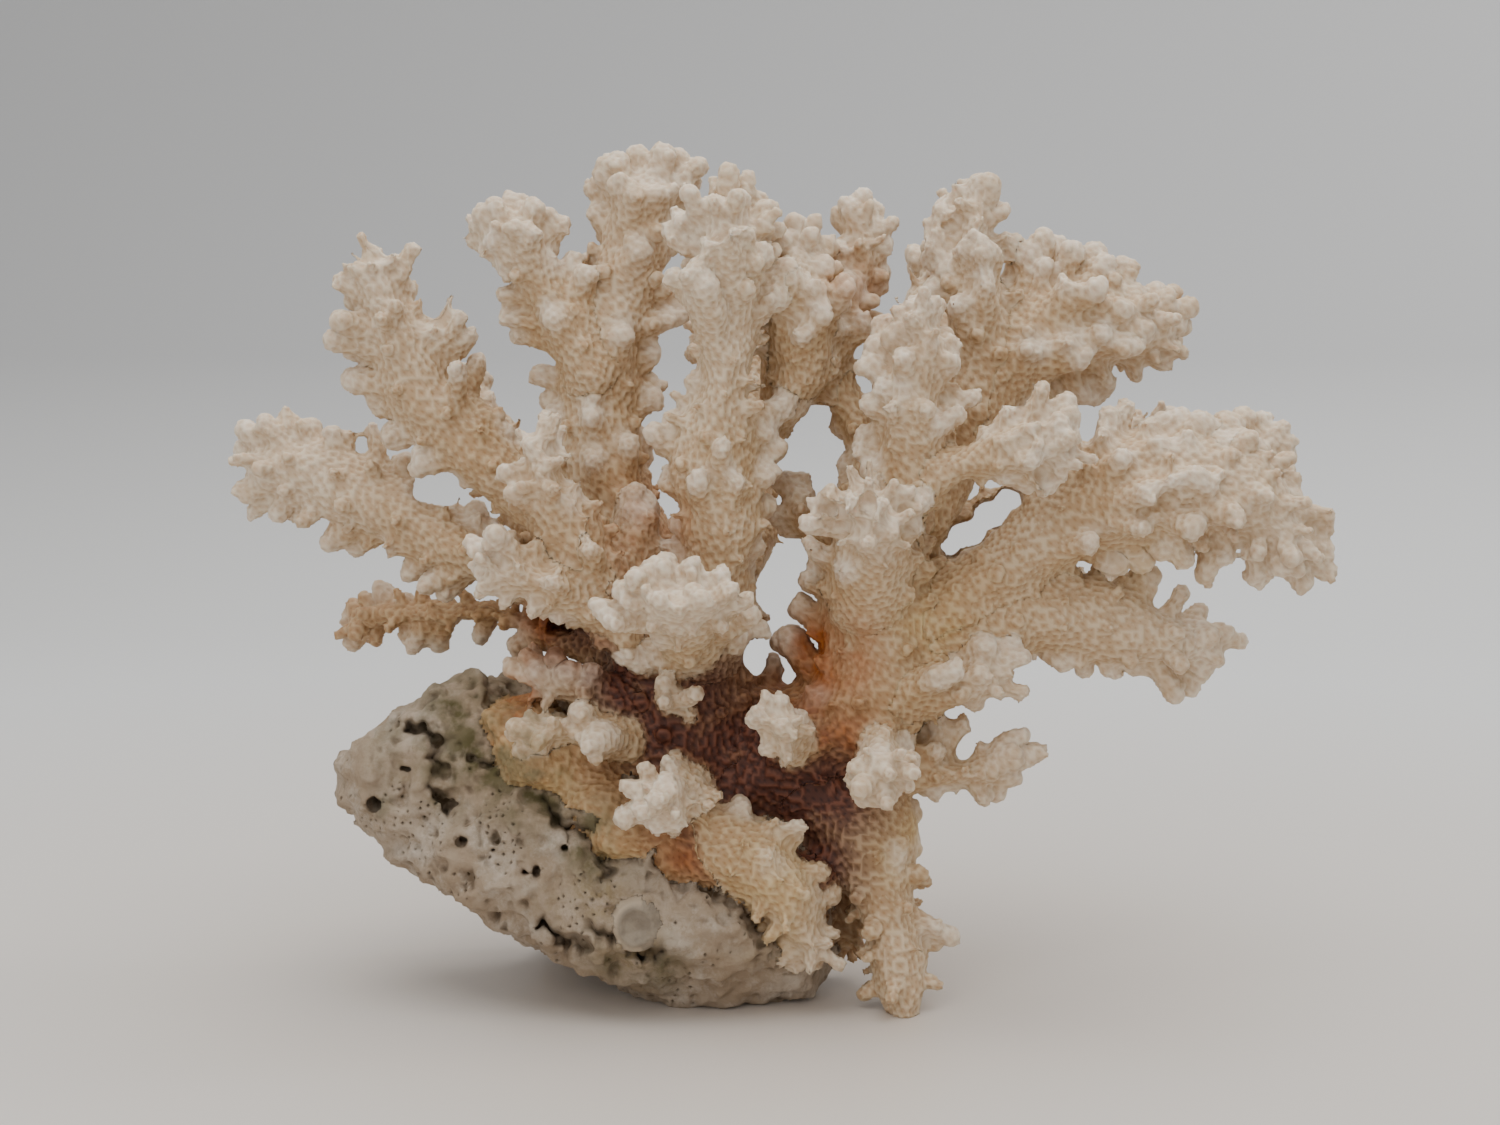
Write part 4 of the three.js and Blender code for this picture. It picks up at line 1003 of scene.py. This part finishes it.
# Which number marks the rock, the shell and the first branch in the grid
ROCK, CLAM, FIRST = 1, 2, 3
UNSTAINED = FORWARD | {"lower_front_lobe", "left_knob_lower", "left_front_palm", "right_side_fan",
                       "right_lower_fan"}
STAINED = [FIRST + n for n, name in enumerate(BRANCHES) if name not in UNSTAINED]


def node(tree, kind, place, **inputs):
    """One shader node with its plain values set."""
    made = tree.nodes.new(kind)
    made.location = place
    for key, value in inputs.items():
        made.inputs[key.replace("_", " ")].default_value = value
    return made


class Finish:
    """A stone-like material built up from layers of colour."""

    def __init__(self, name, roughness, specular):
        self.material = bpy.data.materials.new(name)
        self.material.use_nodes = True
        self.tree = self.material.node_tree
        self.shader = self.tree.nodes["Principled BSDF"]
        self.shader.inputs["Roughness"].default_value = roughness
        self.shader.inputs["Specular IOR Level"].default_value = specular
        self.where = self.tree.nodes.new("ShaderNodeTexCoord")
        self.colour = None

    def link(self, a, b):
        """Join one node's output to another's input."""
        self.tree.links.new(a, b)

    def grain(self, scale, detail=4.0, roughness=0.55):
        """Noise on the object's own coordinates; scale is in waves per metre."""
        texture = node(self.tree, "ShaderNodeTexNoise", (-900, 0),
                       Scale=scale, Detail=detail, Roughness=roughness)
        self.link(self.where.outputs["Object"], texture.inputs["Vector"])
        return texture.outputs["Fac"]

    def attribute(self, name):
        """A value that the piece's own mesh carries."""
        made = self.tree.nodes.new("ShaderNodeAttribute")
        made.attribute_name = name
        return made.outputs["Fac"]

    def product(self, a, b):
        """One value times another, kept from 0 to 1."""
        made = self.tree.nodes.new("ShaderNodeMath")
        made.operation = "MULTIPLY"
        made.use_clamp = True
        for n, value in enumerate((a, b)):
            if isinstance(value, (int, float)):
                made.inputs[n].default_value = value
            else:
                self.link(value, made.inputs[n])
        return made.outputs[0]

    def spread(self, value, low, high):
        """Stretch a value so that low becomes 0 and high becomes 1."""
        made = node(self.tree, "ShaderNodeMapRange", (-600, 0), From_Min=low, From_Max=high)
        self.link(value, made.inputs["Value"])
        return made.outputs["Result"]

    def layer(self, colour, weight, kind="MIX"):
        """Lay a colour over the ones so far, by a weight from 0 to 1."""
        made = self.tree.nodes.new("ShaderNodeMix")
        made.data_type = "RGBA"
        made.blend_type = kind
        if isinstance(weight, (int, float)):
            made.inputs["Factor"].default_value = weight
        else:
            self.link(weight, made.inputs["Factor"])
        if isinstance(self.colour, tuple):
            made.inputs["A"].default_value = (*self.colour, 1)
        else:
            self.link(self.colour, made.inputs["A"])
        made.inputs["B"].default_value = (*colour, 1)
        self.colour = made.outputs["Result"]

    def finish(self, height, distance):
        """Close the material: its last colour, and a fine bump of the given height in metres."""
        self.link(self.colour, self.shader.inputs["Base Color"])
        bump = node(self.tree, "ShaderNodeBump", (-200, -300), Strength=1.0, Distance=distance)
        self.link(height, bump.inputs["Height"])
        self.link(bump.outputs["Normal"], self.shader.inputs["Normal"])
        return self.material


# Colours, as red, green and blue in linear light
PALE = (0.80, 0.715, 0.60)
RUST = (0.40, 0.12, 0.02)
MOSS = (0.20, 0.15, 0.07)
OCHRE = (0.62, 0.45, 0.20)
PLUM = (0.155, 0.053, 0.029)
# Painted shade, deeper, in the cups of the dark core
CORE_CUP_SHADE = (0.03, 0.008, 0.006)
# Painted shade in the coral's cups: their colour is multiplied by this
CUP_SHADE = (0.68, 0.52, 0.38)


def coral_finish(name, body, light):
    """Bare skeleton: tan stone, near-white growing tips, old stains, and painted shade in its cups, deepest
    in the dark core.
    """
    f = Finish(name, 0.6, 0.35)
    f.colour = body
    f.layer(light, f.spread(f.grain(45.0), 0.38, 0.66))
    f.layer(PALE, f.product(f.attribute("pale"), f.spread(f.grain(130.0), 0.1, 0.7)))
    f.layer(RUST, f.product(f.attribute("orange"), f.spread(f.grain(100.0), 0.28, 0.6)))
    f.layer(OCHRE, f.product(f.attribute("yellow"), f.spread(f.grain(140.0), 0.25, 0.6)))
    core = f.product(f.attribute("dark"), f.spread(f.grain(90.0), 0.05, 0.42))
    f.layer(PLUM, core)
    # Painted shade in the cups, where the skin is pushed in
    f.layer(CUP_SHADE, f.attribute("painted_hollow_shade"), "MULTIPLY")
    # Painted shade, deeper still, in the cups of the dark core
    f.layer(CORE_CUP_SHADE, f.product(core, f.attribute("painted_hollow_shade")))
    f.layer(MOSS, f.product(f.attribute("olive"), f.spread(f.grain(170.0), 0.38, 0.62)))
    f.shader.inputs["Subsurface Weight"].default_value = 0.2
    f.shader.inputs["Subsurface Radius"].default_value = (1.0, 0.65, 0.4)
    f.shader.inputs["Subsurface Scale"].default_value = 0.0016
    return f.finish(f.grain(1300.0, 3.0, 0.7), 0.00014)


def rock_finish():
    """Pink-beige reef rock, crumbly white in places, with olive growth in its hollows, and painted shade in
    its pores and cracks.
    """
    f = Finish("reef_rock", 0.88, 0.2)
    f.colour = (0.48, 0.36, 0.25)
    f.layer((0.60, 0.48, 0.36), f.spread(f.grain(60.0, 6.0), 0.4, 0.6))
    f.layer((0.70, 0.60, 0.49), f.spread(f.grain(150.0, 6.0, 0.7), 0.48, 0.68))
    f.layer((0.40, 0.29, 0.19), f.product(f.spread(f.grain(420.0, 5.0, 0.75), 0.5, 0.64), 0.5))
    mottled = f.spread(f.grain(300.0, 5.0, 0.7), 0.42, 0.6)
    f.layer((0.42, 0.31, 0.17), f.product(f.attribute("yellow"), mottled))
    f.layer((0.15, 0.125, 0.055), f.product(f.attribute("olive"), f.spread(f.grain(170.0), 0.35, 0.58)))
    # Painted shade in the rock's pores, crumbled hollows and cracks
    f.layer((0.22, 0.18, 0.13), f.product(f.attribute("painted_hollow_shade"), 0.85), "MULTIPLY")
    return f.finish(f.grain(700.0, 8.0, 0.8), 0.0012)


def shell_finish():
    """Smooth grey shell with a paler, chalky rim."""
    f = Finish("shell_grey", 0.6, 0.4)
    f.colour = (0.21, 0.17, 0.125)
    f.layer((0.28, 0.23, 0.17), f.spread(f.grain(300.0), 0.4, 0.6))
    f.layer((0.40, 0.32, 0.23), f.attribute("pale"))
    return f.finish(f.grain(900.0, 5.0, 0.7), 0.0003)


def grow_specimen(voxel):
    """The skin of the whole specimen: rock and crust first, then every branch, openings and shell."""
    field = Field(voxel)
    rng = np.random.default_rng(7)
    lay_rock(field, ROCK)
    lay_crust(field, FIRST)
    for n, (name, (stations, tips)) in enumerate(BRANCHES.items()):
        grow_branch(field, FIRST + n, stations, tips, UP if name in FORWARD else VIEWER, rng)
    clear_openings(field)
    lay_shell(field, CLAM)
    return surface(field)


def coral_relief(p):
    """How far the coral's skin swells, in mm: two waves, low round knobs and a fine grain."""
    knob = np.clip(1 - (knob_distance(p, KNOB_CELL, 31) / KNOB_RADIUS) ** 2, 0, 1)
    return noise(p, 9.0, 21) * 0.85 + noise(p, 4.6, 22) * 0.5 + knob * 0.35 - 0.15 + noise(p, 1.5, 23) * 0.10


def rock_crumb(p):
    """How deep the rock has crumbled, in mm: ridged waves, the finest of them in some places only."""
    crumbly = noise(p, 14.0, 27) > -0.2
    return 0.9 * np.abs(noise(p, 3.0, 24)) + 0.75 * np.abs(noise(p, 1.5, 25)) * crumbly


def dress(points, quads, label):
    """Move the skin's points out into knobs and in at the cups, and work out what colours them.

    A cup is one point of the skin pushed in, and its neighbours by a part of that. The shell's growth
    rings are a sine wave of the distance from its middle, as a part of its radius.
    """
    rng = np.random.default_rng(11)
    normal = point_normals(points, quads)
    open_skin = np.zeros(len(points), bool)
    open_skin[quads.ravel()] = True
    stone = label == ROCK
    clam = label == CLAM
    coral = open_skin & ~stone & ~clam
    pale = paleness(points, label, FIRST)
    dark = spot_weight(points, DARK)
    crumb = rock_crumb(points)
    out = np.where(coral, coral_relief(points), 0)
    out = np.where(stone, CRUMB_RISE - crumb, out)
    cups = scattered(quads, coral & (pale < 0.97), rng)
    porous = noise(points, 7.0, 26) > 0.25
    pores = scattered(quads, stone & porous & (rng.random(len(points)) < PORE_SHARE), rng)
    bowl = np.where(cups, 1.0, CUP_RING * spread_max(cups.astype(np.float32), quads))
    depth = bowl * (CUP_DEPTH + 0.1 * dark - 0.2 * pale) + np.where(pores, PORE_DEPTH, 0)
    ring = np.hypot((points[:, 0] - SHELL[0]) / SHELL[3], (points[:, 2] - SHELL[2]) / SHELL[5])
    out = np.where(clam, 0.12 * np.sin(ring * 22) + noise(points, 1.8, 28) * 0.25, out)
    rim = np.clip((ring - 0.72) / 0.15, 0, 1) * (points[:, 0] < SHELL[0] + 1)
    pale = np.where(clam, rim, pale)
    moved = points + normal * (spread_mean(out, quads, 1) - depth)[:, None]
    moved[:, 2] = np.maximum(moved[:, 2], 0.0)
    stained = np.isin(label, STAINED).astype(float)
    inner = np.where(open_skin, spread_mean(stained, quads, 4), stained)
    # Painted shade: how much the colour darkens in the coral's cups and in the rock's pores, crumbled hollows
    # and cracks
    painted_hollow_shade = np.where(cups, 1.0, 0.55 * (bowl > 0)) * (1 - 0.5 * pale) + pores
    painted_hollow_shade = painted_hollow_shade + np.where(stone, np.clip((crumb - 0.7) / 0.5, 0, 0.8) + crack_weight(*points.T), 0)
    values = {"pale": pale, "painted_hollow_shade": painted_hollow_shade, "dark": dark * inner, "orange": spot_weight(points, ORANGE) * inner,
              "yellow": spot_weight(points, YELLOW), "olive": spot_weight(points, OLIVE)}
    return moved, values


def faces_round(number, quads, sides):
    """The faces that bound one piece: those with it on their first side, and those on their second turned."""
    return np.vstack([quads[sides[:, 0] == number], quads[sides[:, 1] == number][:, ::-1]])


points, quads, sides = grow_specimen(VOXEL)
kept = largest_body(points, quads)
quads, sides = quads[kept], sides[kept]
skin = (sides == 0).any(axis=1)
outward = np.where(sides[:, :1] == 0, quads[:, ::-1], quads)[skin]
label = np.zeros(len(points), np.uint8)
label[quads.ravel()] = np.repeat(sides.max(axis=1), 4)
label[outward.ravel()] = np.repeat(sides.max(axis=1)[skin], 4)
points, values = dress(points, outward, label)
COATS = {
    "coral_cream": coral_finish("coral_cream", (0.53, 0.38, 0.22), (0.62, 0.485, 0.325)),
    "coral_pale": coral_finish("coral_pale", (0.58, 0.44, 0.275), (0.68, 0.55, 0.39)),
    "coral_tan": coral_finish("coral_tan", (0.46, 0.315, 0.165), (0.56, 0.42, 0.26)),
    "coral_dark": coral_finish("coral_dark", (0.46, 0.29, 0.145), (0.55, 0.38, 0.21)),
    "reef_rock": rock_finish(),
    "shell_grey": shell_finish(),
}
SLOTS = {row["node"]: row["material_slot"] for row in frame["record"]["subparts"]}
for n, name in enumerate(["base_rock", "round_shell"] + list(BRANCHES)):
    piece = piece_mesh(name, points, faces_round(ROCK + n, quads, sides), values)
    piece.data.materials.append(COATS[SLOTS[name]])
    if name == "base_rock":
        thinned = piece.modifiers.new("thinned", "DECIMATE")
        thinned.ratio = ROCK_KEPT
    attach(piece, "root")
    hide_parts(name)


# The pale surface it stands on, sweeping up behind, with painted shade, and its soft lights
def sweep():
    """A floor whose back edge bends up into a wall: a flat run, a quarter circle and an upright run."""
    turn, bend, half, wall = 0.55, 1.3, 4.0, 2.6
    angle = np.linspace(0, math.pi / 2, 24)
    run = np.concatenate([[-2.5], turn + bend * np.sin(angle), [turn + bend]])
    rise = np.concatenate([[0.0], bend * (1 - np.cos(angle)), [wall]])
    grid = np.array([[(x, y, z) for y, z in zip(run, rise)] for x in (-half, half)])
    count = len(run)
    mesh = bpy.data.meshes.new("sweep")
    faces = [(i, count + i, count + i + 1, i + 1) for i in range(count - 1)]
    mesh.from_pydata(grid.reshape(-1, 3).tolist(), [], faces)
    for face in mesh.polygons:
        face.use_smooth = True
    made = bpy.data.objects.new("sweep", mesh)
    bpy.context.scene.collection.objects.link(made)
    paper = Finish("paper", 0.42, 0.4)
    paper.colour = (0.67, 0.67, 0.66)
    near = paper.tree.nodes.new("ShaderNodeTexGradient")
    near.gradient_type = "SPHERICAL"
    reach = node(paper.tree, "ShaderNodeMapping", (-900, 0), Scale=(2.2, 2.2, 2.2))
    paper.link(paper.where.outputs["Object"], reach.inputs["Vector"])
    paper.link(reach.outputs["Vector"], near.inputs["Vector"])
    # Painted warm shade on the paper round where the object stands
    paper.layer((0.61, 0.545, 0.48), near.outputs["Fac"])
    height = paper.tree.nodes.new("ShaderNodeSeparateXYZ")
    paper.link(paper.where.outputs["Object"], height.inputs["Vector"])
    # Painted shade: the paper darker up the wall, from the floor to 0.12 m up
    paper.layer((0.475, 0.475, 0.475), paper.spread(height.outputs["Z"], 0.0, 0.12))
    paper.link(paper.colour, paper.shader.inputs["Base Color"])
    made.data.materials.append(paper.material)


def lamp(name, place, aim, size, power):
    """A soft rectangular light at a place, turned towards its aim, its power in watts."""
    light = bpy.data.lights.new(name, "AREA")
    light.shape = "RECTANGLE"
    light.size, light.size_y = size
    light.energy = power
    made = bpy.data.objects.new(name, light)
    made.location = place
    made.rotation_euler = (Vector(aim) - Vector(place)).to_track_quat("-Z", "Y").to_euler()
    bpy.context.scene.collection.objects.link(made)


sweep()
lamp("softbox_above", (0.05, -0.05, 0.95), (0, 0, 0.05), (1.3, 1.1), 12.5)
lamp("wash_right", (1.5, 0.3, 0.9), (0.9, 1.8, 1.0), (0.8, 0.8), 24.0)
lamp("fill_front", (-0.5, -1.1, 0.6), (0, 0, 0.08), (0.9, 0.9), 4.5)
world = bpy.data.worlds.new("studio")
world.use_nodes = True
world.node_tree.nodes["Background"].inputs["Color"].default_value = (0.78, 0.775, 0.77, 1)
world.node_tree.nodes["Background"].inputs["Strength"].default_value = 0.72
bpy.context.scene.world = world

AIM = (-7.0, 0.0, 89.5)  # mm, what the photograph's middle shows
FOCAL_PIXELS = 2262.0
PHOTO_WIDTH = 1500.0
SENSOR = 36.0
camera = bpy.data.objects.new("camera", bpy.data.cameras.new("camera"))
camera.data.sensor_width = SENSOR
camera.data.sensor_fit = "HORIZONTAL"
camera.data.lens = SENSOR * FOCAL_PIXELS / PHOTO_WIDTH
place = Vector([(c + s) * MM for c, s in zip(EYE, SHIFT)])
aim = Vector([(c + s) * MM for c, s in zip(AIM, SHIFT)])
camera.location = place
camera.rotation_euler = (aim - place).to_track_quat("-Z", "Y").to_euler()
bpy.context.scene.collection.objects.link(camera)
bpy.context.scene.camera = camera
